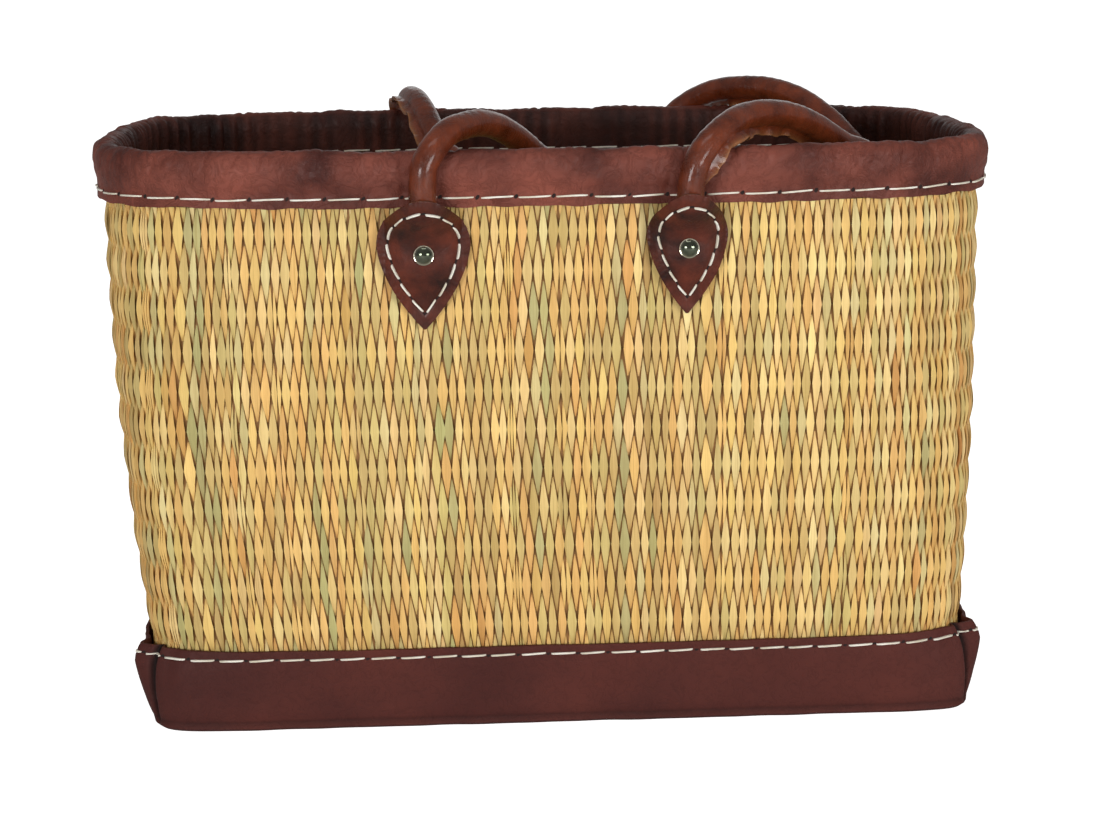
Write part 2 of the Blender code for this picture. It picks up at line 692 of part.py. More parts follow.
def build():
    clear_scene()
    rush = material("woven_rush", (0.60, 0.42, 0.17), 0.6)
    roll = material("rush_roll", (0.50, 0.36, 0.16), 0.75)
    rim_leather = material("rim_leather", (0.16, 0.045, 0.03), 0.45)
    shoe_leather = material("shoe_leather", (0.12, 0.035, 0.025), 0.6)
    tab_leather = material("tab_leather", (0.11, 0.03, 0.022), 0.4)
    handle_leather = material("handle_leather", (0.30, 0.09, 0.025), 0.3)
    cord = material("handle_cord", (0.45, 0.33, 0.18), 0.85)
    thread = material("waxed_thread", (0.78, 0.72, 0.66), 0.55)
    nickel = material("nickel", (0.62, 0.60, 0.55), 0.25, 1.0)

    wall = woven_wall(rush)
    woven_bottom(rush)
    rim_roll(roll)
    rim_binding(rim_leather)
    binding_face = GAP + BINDING_THICK + GAP + THREAD_RADIUS
    thread_hoop("rim_stitch_outer", binding_face + 0.0002, RIM_STITCH_HEIGHT, thread)
    thread_hoop("rim_stitch_inner", -WALL_THICK - binding_face - 0.0002, RIM_STITCH_HEIGHT, thread)
    base_shoe(shoe_leather)
    shoe_face = GAP + SHOE_THICK + GAP + THREAD_RADIUS
    thread_hoop("base_stitch_outer", shoe_face, BASE_STITCH_HEIGHT, thread, shoe_ring)
    thread_hoop("base_stitch_inner", -WALL_THICK - GAP - THREAD_RADIUS, BASE_STITCH_HEIGHT, thread)

    front = handle("front", FRONT_FALL, FRONT_LEFT_LEAN, FRONT_RIGHT_LEAN, FRONT_LOOP, FRONT_HINGES,
                   handle_leather, cord)
    back = handle("back", BACK_FALL, BACK_LEFT_LEAN, BACK_RIGHT_LEAN, BACK_LOOP, BACK_HINGES,
                  handle_leather, cord)
    for tab, tongue in zip(TABS, front + back):
        plate = tab_plate(tab, tab_leather)
        tab_thread(tab, thread)
        rivet(tab, nickel)
        washer(tab, nickel)
        cutter = hole_cutter(tab)
        for pierced in (plate, tongue, wall):
            bore(pierced, cutter)


build()
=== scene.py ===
import math

import bpy
import numpy as np
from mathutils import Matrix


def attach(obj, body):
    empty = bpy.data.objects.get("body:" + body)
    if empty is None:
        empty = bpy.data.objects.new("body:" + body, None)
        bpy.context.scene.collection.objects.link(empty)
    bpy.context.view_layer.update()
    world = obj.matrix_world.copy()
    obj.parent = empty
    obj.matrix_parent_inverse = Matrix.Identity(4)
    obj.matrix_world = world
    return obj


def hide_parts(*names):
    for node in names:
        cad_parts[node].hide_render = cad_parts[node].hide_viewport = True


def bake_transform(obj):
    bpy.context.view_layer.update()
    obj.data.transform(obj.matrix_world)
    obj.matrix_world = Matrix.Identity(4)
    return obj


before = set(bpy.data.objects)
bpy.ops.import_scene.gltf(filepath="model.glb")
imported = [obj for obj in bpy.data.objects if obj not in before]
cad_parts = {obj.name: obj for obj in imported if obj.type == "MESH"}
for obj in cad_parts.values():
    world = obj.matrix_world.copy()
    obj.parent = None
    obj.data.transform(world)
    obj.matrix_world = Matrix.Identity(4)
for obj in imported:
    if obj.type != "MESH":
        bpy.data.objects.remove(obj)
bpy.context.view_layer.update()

bpy.ops.object.select_all(action="DESELECT")

# ---------------------------------------------------------------------------------------------------
# Studio: a pale floor, an even pale surround, a large soft light from the upper left in front and a
# weaker one from the right, as for a catalogue picture.


def shade(red, green, blue):
    """A colour picked on a 0 to 255 chart, as the renderer's linear values."""
    chart = np.array([red, green, blue]) / 255.0
    linear = np.where(chart <= 0.04045, chart / 12.92, ((chart + 0.055) / 1.055) ** 2.4)
    return (*(float(v) for v in linear), 1.0)


def node(tree, kind, sockets=None, **settings):
    """Adds a shader node; a socket value that is itself a socket is linked, anything else is set."""
    made = tree.nodes.new(kind)
    for name, value in settings.items():
        setattr(made, name, value)
    for name, value in (sockets or {}).items():
        if isinstance(value, bpy.types.NodeSocket):
            tree.links.new(value, made.inputs[name])
        else:
            made.inputs[name].default_value = value
    return made


def new_material(name):
    """An empty material, its node tree and its Principled shader."""
    material = bpy.data.materials.new(name)
    material.use_nodes = True
    tree = material.node_tree
    tree.nodes.clear()
    shader = node(tree, "ShaderNodeBsdfPrincipled")
    out = node(tree, "ShaderNodeOutputMaterial")
    tree.links.new(shader.outputs["BSDF"], out.inputs["Surface"])
    return material, tree, shader


def white_to_the_camera(tree, socket, glow, seen):
    """The studio looks white, but throws only a little light on the object."""
    camera_ray = node(tree, "ShaderNodeLightPath").outputs["Is Camera Ray"]
    strength = node(tree, "ShaderNodeMapRange", {"Value": camera_ray, "To Min": glow, "To Max": seen})
    tree.links.new(strength.outputs["Result"], socket)


bpy.ops.mesh.primitive_plane_add(size=80.0)
floor = bpy.context.object
floor.name = "studio_floor"
floor_paint, floor_tree, floor_shader = new_material("studio_floor")
floor_shader.inputs["Base Color"].default_value = (0.80, 0.80, 0.80, 1.0)
floor_shader.inputs["Roughness"].default_value = 0.9
floor_shader.inputs["Specular IOR Level"].default_value = 0.0
floor_shader.inputs["Emission Color"].default_value = (1.0, 1.0, 1.0, 1.0)
white_to_the_camera(floor_tree, floor_shader.inputs["Emission Strength"], 0.06, 0.95)
floor.data.materials.append(floor_paint)

world = bpy.data.worlds.new("studio")
bpy.context.scene.world = world
world.use_nodes = True
backdrop = world.node_tree.nodes["Background"]
backdrop.inputs["Color"].default_value = (1.0, 1.0, 1.0, 1.0)
white_to_the_camera(world.node_tree, backdrop.inputs["Strength"], 0.28, 1.05)
bpy.context.scene.view_settings.view_transform = "Standard"

for name, place, turn, size, watts in (
    ("softbox_left", (-0.85, -1.75, 0.42), (86, 0, -27), (0.60, 0.40), 12.0),
    ("softbox_right", (1.00, -1.60, 0.40), (86, 0, 34), (0.80, 0.40), 11.5),
    ("softbox_top", (0.00, -0.75, 1.70), (26, 0, 0), (0.9, 0.5), 3.5),
    ("softbox_back", (0.30, 1.90, 0.80), (75, 0, 171), (1.4, 0.9), 2.5),
):
    bpy.ops.object.light_add(type="AREA", location=place, rotation=[math.radians(a) for a in turn])
    lamp = bpy.context.object
    lamp.name = name
    lamp.data.shape = "RECTANGLE"
    lamp.data.size, lamp.data.size_y = size
    lamp.data.energy = watts

bpy.ops.object.camera_add(
    location=(-0.06854, -1.25314, 0.4155),
    rotation=[math.radians(a) for a in (77.922, 0.51, -3.449)],
)
camera = bpy.context.object
camera.name = "camera"
camera.data.lens = 75.72
camera.data.sensor_width = 36.0
bpy.context.scene.camera = camera

# ---------------------------------------------------------------------------------------------------
# Woven bottom: a flat mat of twisted rush in the foot of the wall. Long strands run front to back
# over and under thin cords, the same weave as the wall.

WALL_TOP = 0.2898
WEAVE_THICK = 0.006
LEATHER_GAP = 0.00035
LEATHER_THICK = 0.0022


def unit(vectors):
    return vectors / np.linalg.norm(vectors, axis=-1, keepdims=True)


def travelled(points):
    """The distance along a line of points, from 0 at its first."""
    return np.concatenate(([0.0], np.cumsum(np.linalg.norm(np.diff(points, axis=0), axis=1))))


def points_of(thing):
    flat = np.empty(len(thing.data.vertices) * 3)
    thing.data.vertices.foreach_get("co", flat)
    return flat.reshape(-1, 3)


def select_only(thing):
    bpy.ops.object.select_all(action="DESELECT")
    thing.select_set(True)
    bpy.context.view_layer.objects.active = thing


def on_whole_mesh(step, **settings):
    """Runs one mesh operator on everything in the active object."""
    bpy.ops.object.mode_set(mode="EDIT")
    bpy.ops.mesh.select_all(action="SELECT")
    step(**settings)
    bpy.ops.object.mode_set(mode="OBJECT")


def wall_size(height):
    """Half length, half depth, squareness and sideways shift of the weave's outer face at a height."""
    drop = np.clip(1.0 - np.asarray(height) / WALL_TOP, 0.0, 1.0)
    half_length = 0.2305 - 0.0175 * drop ** 2.2
    half_depth = 0.1230 - 0.0195 * drop ** 1.4
    return half_length, half_depth, 4.0 + 4.2 * drop ** 1.6, 0.006 * drop ** 2


def outline(height):
    """The closed outline of the weave at a height: points and the distance along it."""
    half_length, half_depth, power, _ = wall_size(height)
    rays = np.linspace(0.0, 2.0 * math.pi, 2401)
    cos, sin = np.cos(rays), np.sin(rays)
    reach = ((np.abs(cos) / half_length) ** power + (np.abs(sin) / half_depth) ** power) ** (-1.0 / power)
    x, y = reach * cos, reach * sin
    return x, y, travelled(np.stack([x, y], -1))


def girth(height):
    return outline(height)[2][-1]


def round_wall(share, height, stand=0.0):
    """Points and outward directions at shares of the way round the wall: 0 at the right end, 0.25 at
    the back's middle, 0.75 at the front's middle."""
    half_length, half_depth, power, shift = wall_size(height)
    x, y, along = outline(height)
    want = (np.asarray(share, float) % 1.0) * along[-1]
    x, y = np.interp(want, along, x), np.interp(want, along, y)
    out_x = np.sign(x) * np.abs(x / half_length) ** (power - 1.0) / half_length
    out_y = np.sign(y) * np.abs(y / half_depth) ** (power - 1.0) / half_depth
    out = unit(np.stack([out_x, out_y, np.zeros_like(x)], -1))
    return np.stack([x + shift, y, np.full_like(x, height)], -1) + stand * out, out


def blank_tube(sides, *rounds):
    """A plain closed tube of unit radius and length, cut along its length in rounds of cuts (each span
    of the last round again), with each point's side and ring and the faces. Each side has a number of
    its own only if sides is a multiple of four, or odd: otherwise some share one, and their corners meet."""
    bpy.ops.mesh.primitive_cylinder_add(vertices=sides, radius=1.0, depth=1.0, location=(0, 0, 0.5))
    tube = bpy.context.object
    for cuts in rounds:
        bpy.ops.object.mode_set(mode="EDIT")
        bpy.ops.mesh.select_mode(type="EDGE")
        bpy.ops.mesh.select_all(action="DESELECT")
        bpy.ops.object.mode_set(mode="OBJECT")
        points = tube.data.vertices
        for edge in tube.data.edges:
            a, b = (points[k].co for k in edge.vertices)
            edge.select = abs(a.z - b.z) > 1e-7
        bpy.ops.object.mode_set(mode="EDIT")
        bpy.ops.mesh.subdivide(number_cuts=cuts - 1)
        bpy.ops.object.mode_set(mode="OBJECT")
    bpy.ops.object.transform_apply(location=True, rotation=True, scale=True)
    flat = points_of(tube)
    ring = np.rint(flat[:, 2] * math.prod(rounds)).astype(int)
    side = np.rint(np.arctan2(flat[:, 1], flat[:, 0]) / (2 * math.pi) * sides).astype(int) % sides
    faces = [tuple(p.vertices) for p in tube.data.polygons]
    bpy.data.objects.remove(tube, do_unlink=True)
    return side, ring, faces


def copies(name, faces, points, material, tones_and_shade=None, weave_map=None):
    """One object from many bent copies of a blank: points is (copies, points of the blank, 3)."""
    count, size = points.shape[:2]
    first = points[0] - points[0].mean(axis=0)
    enclosed = sum(np.dot(first[f[0]], np.cross(first[f[k]], first[f[k + 1]]))
                   for f in faces for k in range(1, len(f) - 1))
    if enclosed < 0:
        faces = [face[::-1] for face in faces]
    mesh = bpy.data.meshes.new(name)
    every = [tuple(v + k * size for v in face) for k in range(count) for face in faces]
    mesh.from_pydata(points.reshape(-1, 3).tolist(), [], every)
    if tones_and_shade is not None:
        colour = mesh.color_attributes.new("tone_and_shade", "FLOAT_COLOR", "POINT")
        full = np.ones((count * size, 4))
        full[:, :3] = tones_and_shade.reshape(-1, 3)
        colour.data.foreach_set("color", full.ravel())
    if weave_map is not None:
        corners = np.empty(len(mesh.loops), int)
        mesh.loops.foreach_get("vertex_index", corners)
        layer = mesh.uv_layers.new(name="strand")
        layer.data.foreach_set("uv", weave_map.reshape(-1, 2)[corners].ravel())
    thing = bpy.data.objects.new(name, mesh)
    bpy.context.scene.collection.objects.link(thing)
    mesh.materials.append(material)
    select_only(thing)
    bpy.ops.object.shade_smooth_by_angle(angle=math.radians(50))
    return thing


def finish(thing, angle):
    """Outward faces and smooth shading up to an edge angle."""
    select_only(thing)
    on_whole_mesh(bpy.ops.mesh.normals_make_consistent, inside=False)
    bpy.ops.object.shade_smooth_by_angle(angle=math.radians(angle))


def new_group(name, inputs, outputs):
    """An empty shader group with (name, kind, value) inputs and (name, kind) outputs."""
    group = bpy.data.node_groups.new(name, "ShaderNodeTree")
    for label, kind, value in inputs:
        group.interface.new_socket(label, in_out="INPUT", socket_type=kind).default_value = value
    for label, kind in outputs:
        group.interface.new_socket(label, in_out="OUTPUT", socket_type=kind)
    return group, group.nodes.new("NodeGroupInput"), group.nodes.new("NodeGroupOutput")


def ramp(tree, factor, stops):
    """A colour ramp from (position, colour) stops."""
    made = node(tree, "ShaderNodeValToRGB", {"Fac": factor})
    band = made.color_ramp
    while len(band.elements) < len(stops):
        band.elements.new(0.5)
    for element, (place, colour) in zip(band.elements, stops):
        element.position = place
        element.color = colour if len(colour) == 4 else (*colour, 1.0)
    return made.outputs["Color"]


def mixed(tree, factor, first, second, blend="MIX"):
    values = {0: factor, 6: first, 7: second}
    return node(tree, "ShaderNodeMix", values, data_type="RGBA", blend_type=blend).outputs[2]


def counted(tree, operation, first, second=0.5, third=0.5):
    return node(tree, "ShaderNodeMath", {0: first, 1: second, 2: third}, operation=operation).outputs[0]


def noise(tree, place, scale, detail=2.0, **more):
    sockets = {"Vector": place, "Scale": scale, "Detail": detail, **more}
    return node(tree, "ShaderNodeTexNoise", sockets).outputs["Fac"]


def object_place(tree):
    return node(tree, "ShaderNodeTexCoord").outputs["Object"]


def painted(tree, name, output):
    """A value or colour that the mesh carries point by point."""
    return node(tree, "ShaderNodeAttribute", attribute_name=name, attribute_type="GEOMETRY").outputs[output]


def bumped(tree, shader, height, strength, distance):
    relief = node(tree, "ShaderNodeBump", {"Height": height, "Strength": strength, "Distance": distance})
    tree.links.new(relief.outputs["Normal"], shader.inputs["Normal"])


# The fibres of a flattened reed: long fine streaks with a few darker ones, along the strand's own map.
fibre, fibre_in, fibre_out = new_group(
    "reed fibres",
    [("Fineness", "NodeSocketFloat", 1.0)],
    [("Streak", "NodeSocketFloat"), ("Cloud", "NodeSocketFloat"), ("Height", "NodeSocketFloat")],
)
strand_map = node(fibre, "ShaderNodeUVMap", uv_map="strand").outputs["UV"]


def stretched(across, along, detail, **more):
    """Noise drawn out along the strand, by scales across and along it."""
    place = node(fibre, "ShaderNodeMapping", {"Vector": strand_map, "Scale": (across, along, 1.0)})
    return noise(fibre, place.outputs["Vector"], 1.0, detail, **more)


streak = counted(fibre, "MULTIPLY", stretched(2600.0, 26.0, 3.0, Roughness=0.6), fibre_in.outputs["Fineness"])
both = counted(fibre, "MULTIPLY_ADD", stretched(700.0, 14.0, 2.0), 0.8, streak)
fibre.links.new(counted(fibre, "MULTIPLY", both, 0.55), fibre_out.inputs["Streak"])
fibre.links.new(stretched(120.0, 18.0, 3.0), fibre_out.inputs["Cloud"])
fibre.links.new(both, fibre_out.inputs["Height"])


def reed_material(name, roughness, bump):
    """Dried rush: the colour the mesh carries, each strand's own colour with painted shade, streaked along the
    fibres, with a faint waxy shine.
    """
    material, tree, shader = new_material(name)
    tone_and_shade = painted(tree, "tone_and_shade", "Color")
    fibres = node(tree, "ShaderNodeGroup")
    fibres.node_tree = fibre
    streaks = ramp(tree, fibres.outputs["Streak"], ((0.30, (0.78, 0.70, 0.56)), (0.46, (0.98, 0.97, 0.94)),
                                                    (0.66, (1.08, 1.08, 1.07))))
    clouds = ramp(tree, fibres.outputs["Cloud"], ((0.30, (0.88, 0.84, 0.78)), (0.62, (1.05, 1.05, 1.04))))
    streaked = mixed(tree, 1.0, tone_and_shade, streaks, "MULTIPLY")
    tree.links.new(mixed(tree, 1.0, streaked, clouds, "MULTIPLY"), shader.inputs["Base Color"])
    shine = counted(tree, "MULTIPLY_ADD", fibres.outputs["Streak"], -0.25, roughness + 0.12)
    tree.links.new(shine, shader.inputs["Roughness"])
    shader.inputs["Specular IOR Level"].default_value = 0.3
    bumped(tree, shader, fibres.outputs["Height"], bump, 0.0004)
    return material


RUSH_SHADES = (
    (0.36, shade(240, 203, 126)),
    (0.18, shade(190, 180, 122)),
    (0.04, shade(214, 150, 80)),
    (0.17, shade(246, 223, 160)),
    (0.25, shade(234, 188, 116)),
)
# Painted shade: a dark brown that the strands' colour is drawn towards where they pass behind others.
TUCKED_SHADE_TINT = np.array([0.44, 0.26, 0.11])

reed = reed_material("woven_rush", 0.58, 0.35)
strand_side, strand_ring, strand_faces = blank_tube(6, 82)
strand_turn = 2.0 * math.pi * strand_side / 6
strand_x, strand_y = np.rint(np.cos(strand_turn) * 2.0) / 2.0, np.sin(strand_turn) / math.sin(math.pi / 3)


def rush_colours(rng, count):
    """A dye lot: each strand keeps one of the natural shades all along, a little lighter or darker."""
    weights = np.array([w for w, _ in RUSH_SHADES])
    picks = rng.choice(len(RUSH_SHADES), size=count, p=weights / weights.sum())
    picks = np.where(rng.random(count) < 0.3, np.roll(picks, 1), picks)
    base = np.array([RUSH_SHADES[k][1][:3] for k in picks])
    return base * rng.uniform(0.88, 1.10, size=(count, 1)) * rng.uniform(0.96, 1.04, size=(count, 3))


BOTTOM_PITCH = 0.0066
BOTTOM_ROW = 0.0195
BOTTOM_MIDDLE = 0.0059
rng = np.random.default_rng(11)
bottom_side, bottom_ring, bottom_faces = blank_tube(6, 48)
bottom_turn = 2.0 * math.pi * bottom_side / 6
foot_length, foot_depth, foot_power, foot_shift = wall_size(BOTTOM_MIDDLE)
foot_length, foot_depth = foot_length - WEAVE_THICK - 0.0005, foot_depth - WEAVE_THICK - 0.0005
strands = np.arange(-foot_length + 0.004, foot_length - 0.003, BOTTOM_PITCH / 2)
count = len(strands)
half = foot_depth * (1.0 - (np.abs(strands) / foot_length) ** foot_power) ** (1.0 / foot_power) - 0.001
along = (2.0 * bottom_ring / 48 - 1.0)[None, :] * half[:, None]
row = along / BOTTOM_ROW + np.arange(count)[:, None] % 2
swell = 0.5 + 0.5 * np.cos(2 * math.pi * row)
across = (np.cos(bottom_turn)[None, :] * BOTTOM_PITCH * (0.26 + 0.24 * swell)
          * rng.uniform(0.85, 1.1, (count, 1)))
lift = 0.0012 * np.cos(math.pi * row) + np.sin(bottom_turn)[None, :] * (0.0012 - 0.0005 * swell)
# Painted shade: each strand's colour is darker where it dips under a cord and lighter where it rises over one.
tones_and_shade = (rush_colours(rng, count)[:, None, :] * (0.62 + 0.25 * np.cos(math.pi * row)[..., None])
         * np.ones((1, 1, 3)))
mat = copies(
    "woven_bottom_mat", bottom_faces,
    np.stack([strands[:, None] + foot_shift + across, along, BOTTOM_MIDDLE + lift], -1),
    reed, tones_and_shade, np.stack([across + 0.37 * np.arange(count)[:, None], along], -1),
)
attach(mat, "basket")
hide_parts("woven_bottom")

# ---------------------------------------------------------------------------------------------------
# Woven wall: five hundred upright rush strands, each over one cord and under the next, so that they
# show as staggered diamonds. Each keeps its own colour from the foot to the rim.

STRANDS = 530
FIRST_ROW = 0.2813
ROW_STEP = 0.0198
ROW_GROWTH = 0.00007
WEAVE_SWING = 0.0013

rng = np.random.default_rng(27)
row_numbers = np.arange(-1, 16)
row_heights = FIRST_ROW - ROW_STEP * row_numbers - ROW_GROWTH * row_numbers * (row_numbers - 1)
strand_rows = np.linspace(-1.0 / 3.0, 13.0 + 1.0 / 3.0, 83)
strand_heights = np.interp(-strand_rows, -row_numbers[::-1], row_heights[::-1])

narrow = np.exp(rng.normal(0.0, 0.14, STRANDS)) * np.where(rng.random(STRANDS) < 0.04, 1.5, 1.0)
narrow /= narrow.sum()
middles = np.cumsum(narrow) - narrow / 2
before, after = np.roll(narrow, 1), np.roll(narrow, -1)
strand_tones = rush_colours(rng, STRANDS)


def by_row(spread, shape=()):
    """A random value per strand and row, eased from row to row along the strand."""
    values = rng.normal(0.0, spread, (STRANDS, len(row_numbers), *shape))
    low = np.floor(strand_rows + 1).astype(int)
    ease = strand_rows + 1 - low
    return values[:, low] * (1 - ease) + values[:, low + 1] * ease


swell_left, swell_right = 1.0 + by_row(0.05), 1.0 + by_row(0.05)
sway = by_row(0.00018)
twist = by_row(0.10)
swing = WEAVE_SWING * (1.0 + np.clip(by_row(0.10), -0.3, 0.25))
parity = np.arange(STRANDS)[:, None] % 2
phase = strand_rows[None, :] + parity
# 0 where the strand lies in front of a cord, 1 where it lies behind the next.
behind = np.abs((phase + 1.0) % 2.0 - 1.0)
# It is widest over each cord and pinched between two. The side that shows is a long diamond, which
# narrows to a point before the next cord; the reed's edges roll away from it into the dark.
diamond = np.interp(behind, (0.0, 0.50, 1.0), (1.03, 0.80, 1.03))


def broad_face(depth):
    return np.interp(depth, (0.0, 0.79, 1.0), (0.93, 0.06, 0.10))


left = (narrow + before)[:, None] * 0.505 * diamond * swell_left
right = (narrow + after)[:, None] * 0.505 * diamond * swell_right
bow = swing * np.cos(math.pi * behind)
thick = np.interp(behind, (0.0, 0.5, 1.0), (0.0009, 0.00105, 0.0009))

# Some reeds have split lengthwise: such a strand is two or three thin ones side by side.
parts = []
for k in range(STRANDS):
    kind = rng.random()
    if kind < 0.05:
        cut = rng.uniform(0.35, 0.65)
        parts += [(k, 0.0, cut + 0.01), (k, cut - 0.01, 1.0)]
    elif kind < 0.065:
        parts += [(k, 0.0, 0.34), (k, 0.32, 0.67), (k, 0.65, 1.0)]
    else:
        parts.append((k, 0.0, 1.0))
parts = np.array(parts)
whose = parts[:, 0].astype(int)
# Each diamond also has a shade of its own, between its strand's and another.
patches = rush_colours(rng, STRANDS * 9).reshape(STRANDS, 9, 3)
in_front = np.clip(np.rint(phase / 2.0), 0, 8).astype(int)
dyed = 0.5 * strand_tones[:, None] + 0.5 * patches[np.arange(STRANDS)[:, None], in_front]
tint = dyed[whose] * rng.uniform(0.94, 1.06, (len(parts), 1, 1))
start, end = parts[:, 1][:, None], parts[:, 2][:, None]
reach_left = left[whose] + (-left[whose] - right[whose]) * start
reach_right = (left[whose] + right[whose]) * end - left[whose]
depth_shift = rng.normal(0.0, 0.00012, (len(parts), 1)) * (end - start < 0.9)

spot = np.empty((len(parts), len(strand_side), 3))
tuck_shade = np.empty((len(parts), len(strand_side)))
weave_map = np.empty((len(parts), len(strand_side), 2))
for ring, height in enumerate(strand_heights):
    here = strand_ring == ring
    around = girth(height)
    lx, ly = strand_x[here][None, :], strand_y[here][None, :]
    depth = behind[whose, ring][:, None]
    face = np.where(ly > 0, broad_face(depth), broad_face(1.0 - depth)) / diamond[whose, ring][:, None]
    edge = np.abs(lx) > 0.9
    lx = np.where(edge, lx, np.sign(lx) * np.minimum(face, 0.9))
    middle = (middles[whose][:, None] + 0.5 * (reach_right[:, ring] - reach_left[:, ring])[:, None])
    half = 0.5 * (reach_right[:, ring] + reach_left[:, ring])[:, None]
    share = middle + half * lx + (sway[whose, ring] / around)[:, None]
    lean = np.tan(twist[whose, ring])[:, None] * lx * half * around
    stand = (-WEAVE_THICK / 2 + bow[whose, ring][:, None] + depth_shift + lean
             + thick[whose, ring][:, None] * ly)
    flat, out = round_wall(share.ravel(), height)
    points = flat + out * stand.reshape(-1, 1)
    spot[:, here] = points.reshape(len(parts), -1, 3)
    # Painted shade: each strand is darkened where it passes behind its neighbours and along its two edges.
    unshaded = np.interp(np.where(ly > 0, depth, 1.0 - depth),
                      (0.0, 0.40, 0.62, 0.80, 1.0), (1.0, 0.98, 0.80, 0.42, 0.20))
    tuck_shade[:, here] = np.where(edge, 0.20, unshaded)
    weave_map[:, here, 0] = half * lx * around + 0.41 * np.arange(len(parts))[:, None]
    weave_map[:, here, 1] = height + 0.1 * whose[:, None]
unshaded_share = tuck_shade[..., None]
tones_and_shade = tint[:, strand_ring] * (unshaded_share + (1.0 - unshaded_share) * TUCKED_SHADE_TINT)

for wall_name, low, high in (("back_right", 0.0, 0.25), ("back_left", 0.25, 0.5),
                             ("front_left", 0.5, 0.75), ("front_right", 0.75, 1.01)):
    chosen = (middles[whose] >= low) & (middles[whose] < high)
    panel = copies("woven_wall_" + wall_name, strand_faces, spot[chosen], reed,
                   tones_and_shade[chosen], weave_map[chosen])
    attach(panel, "basket")
    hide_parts("woven_wall")

def bent_hoop(name, rounds, rows, shape, tint, material):
    """A tube cut into many spans, bent round so that its two ends meet, and pressed into the basket's
    oblong shape. shape(row, share) gives the points of one side of the tube round the basket, and
    tint(row, share) how much of each colour's brightness is left there, which holds the painted shade."""
    side, ring, faces = blank_tube(rows, *rounds)
    columns = math.prod(rounds)
    points, tones_and_shade = np.empty((1, len(side), 3)), np.empty((1, len(side), 3))
    for row in range(rows):
        here = side == row
        points[0, here] = shape(row, ring[here] / columns)
        tones_and_shade[0, here] = tint(row, ring[here] / columns)
    faces = [face for face in faces if len(face) == 4]
    hoop = copies(name, faces, points, material, tones_and_shade)
    on_whole_mesh(bpy.ops.mesh.remove_doubles, threshold=1e-6)
    finish(hoop, 42.0)
    return hoop


# A thin dark brown sheet of painted shade in the middle of the wall. It is no known part of a real basket: it
# closes the slits that the modelled strands leave between them where the wall is seen at a slant, and shows dark
# there as the shade behind them.
CORE_LEVELS = np.linspace(0.004, 0.2893, 12)
CORE_HALF = 0.00015
CORE_SECTION = ([(-WEAVE_THICK / 2 + CORE_HALF, z) for z in CORE_LEVELS]
                + [(-WEAVE_THICK / 2 - CORE_HALF, z) for z in CORE_LEVELS[::-1]])
core = bent_hoop("woven_wall_shade_sheet", (35, 20), len(CORE_SECTION),
                 lambda row, share: round_wall(share, CORE_SECTION[row][1], CORE_SECTION[row][0])[0],
                 lambda row, share: (0.34, 0.18, 0.065), reed)
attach(core, "basket")
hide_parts("woven_wall")

# The thin two-ply cords that the strands are woven over, one at each row all the way round.
cord_side, cord_ring, cord_faces = blank_tube(5, 60)
cord_turn = 2.0 * math.pi * cord_side / 5
hoops = []
for height in row_heights[1:15]:
    for piece in range(7):
        share = (piece + cord_ring / 60) / 7
        flat, out = round_wall(share, height, -WEAVE_THICK / 2)
        beads = 0.00040 * (1.0 + 0.2 * np.sin(2 * math.pi * share * 520 + 2 * cord_turn))
        points = flat + out * (beads * np.cos(cord_turn))[:, None]
        points[:, 2] += beads * np.sin(cord_turn)
        hoops.append(points)
hoops = np.array(hoops)
cord_tone = np.broadcast_to(np.array(shade(120, 92, 52)[:3]), hoops.shape)
cords = copies("woven_wall_cords", cord_faces, hoops, reed, cord_tone, hoops[..., :2] * 3.0)
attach(cords, "basket")
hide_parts("woven_wall")

# ---------------------------------------------------------------------------------------------------
# Rim roll: a hidden rope of rush offcuts bound along the top of the wall. It stiffens the mouth and
# fills the fold of the binding.

roll_finish, tree, shader = new_material("rush_roll")
grain = noise(tree, object_place(tree), 420.0, 4.0)
tree.links.new(ramp(tree, grain, ((0.3, shade(120, 92, 50)), (0.7, shade(206, 174, 112)))),
               shader.inputs["Base Color"])
shader.inputs["Roughness"].default_value = 0.75
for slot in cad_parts["rim_roll"].material_slots:
    slot.material = roll_finish

# ---------------------------------------------------------------------------------------------------
# Rim binding: one strip of soft reddish brown leather folded over the edge and the roll, sewn through
# near both hems. It is puffed between the seams, creased along its length and pleated at the ends.

RIM_EDGE = 0.2745
RIM_STITCH_HEIGHT = 0.2790
RIM_THREAD = 0.00078


def smooth_line(knots, per_span):
    """An open curve through the knots."""
    knots = np.asarray(knots, float)
    padded = np.vstack([2 * knots[0] - knots[1], knots, 2 * knots[-1] - knots[-2]])
    out = []
    for a, b, c, d in zip(padded, padded[1:], padded[2:], padded[3:]):
        t = (np.arange(per_span) / per_span)[:, None]
        out.append(0.5 * (2 * b + (c - a) * t + (2 * a - 5 * b + 4 * c - d) * t ** 2
                          + (3 * b - 3 * c + d - a) * t ** 3))
    return np.vstack(out + [knots[-1:]])


def ripple(share, terms, seed, bands=None, across=0.0):
    """A smooth wander that closes on itself: sums waves of the given counts round the basket."""
    phases = np.random.default_rng(seed)
    total = np.zeros(np.broadcast(share, across).shape)
    for count in terms:
        slant = 0.0 if bands is None else phases.normal(0.0, bands)
        wave = 2 * math.pi * (count * share + slant * across)
        total = total + np.sin(wave + phases.uniform(0, 2 * math.pi))
    return total / math.sqrt(len(terms))


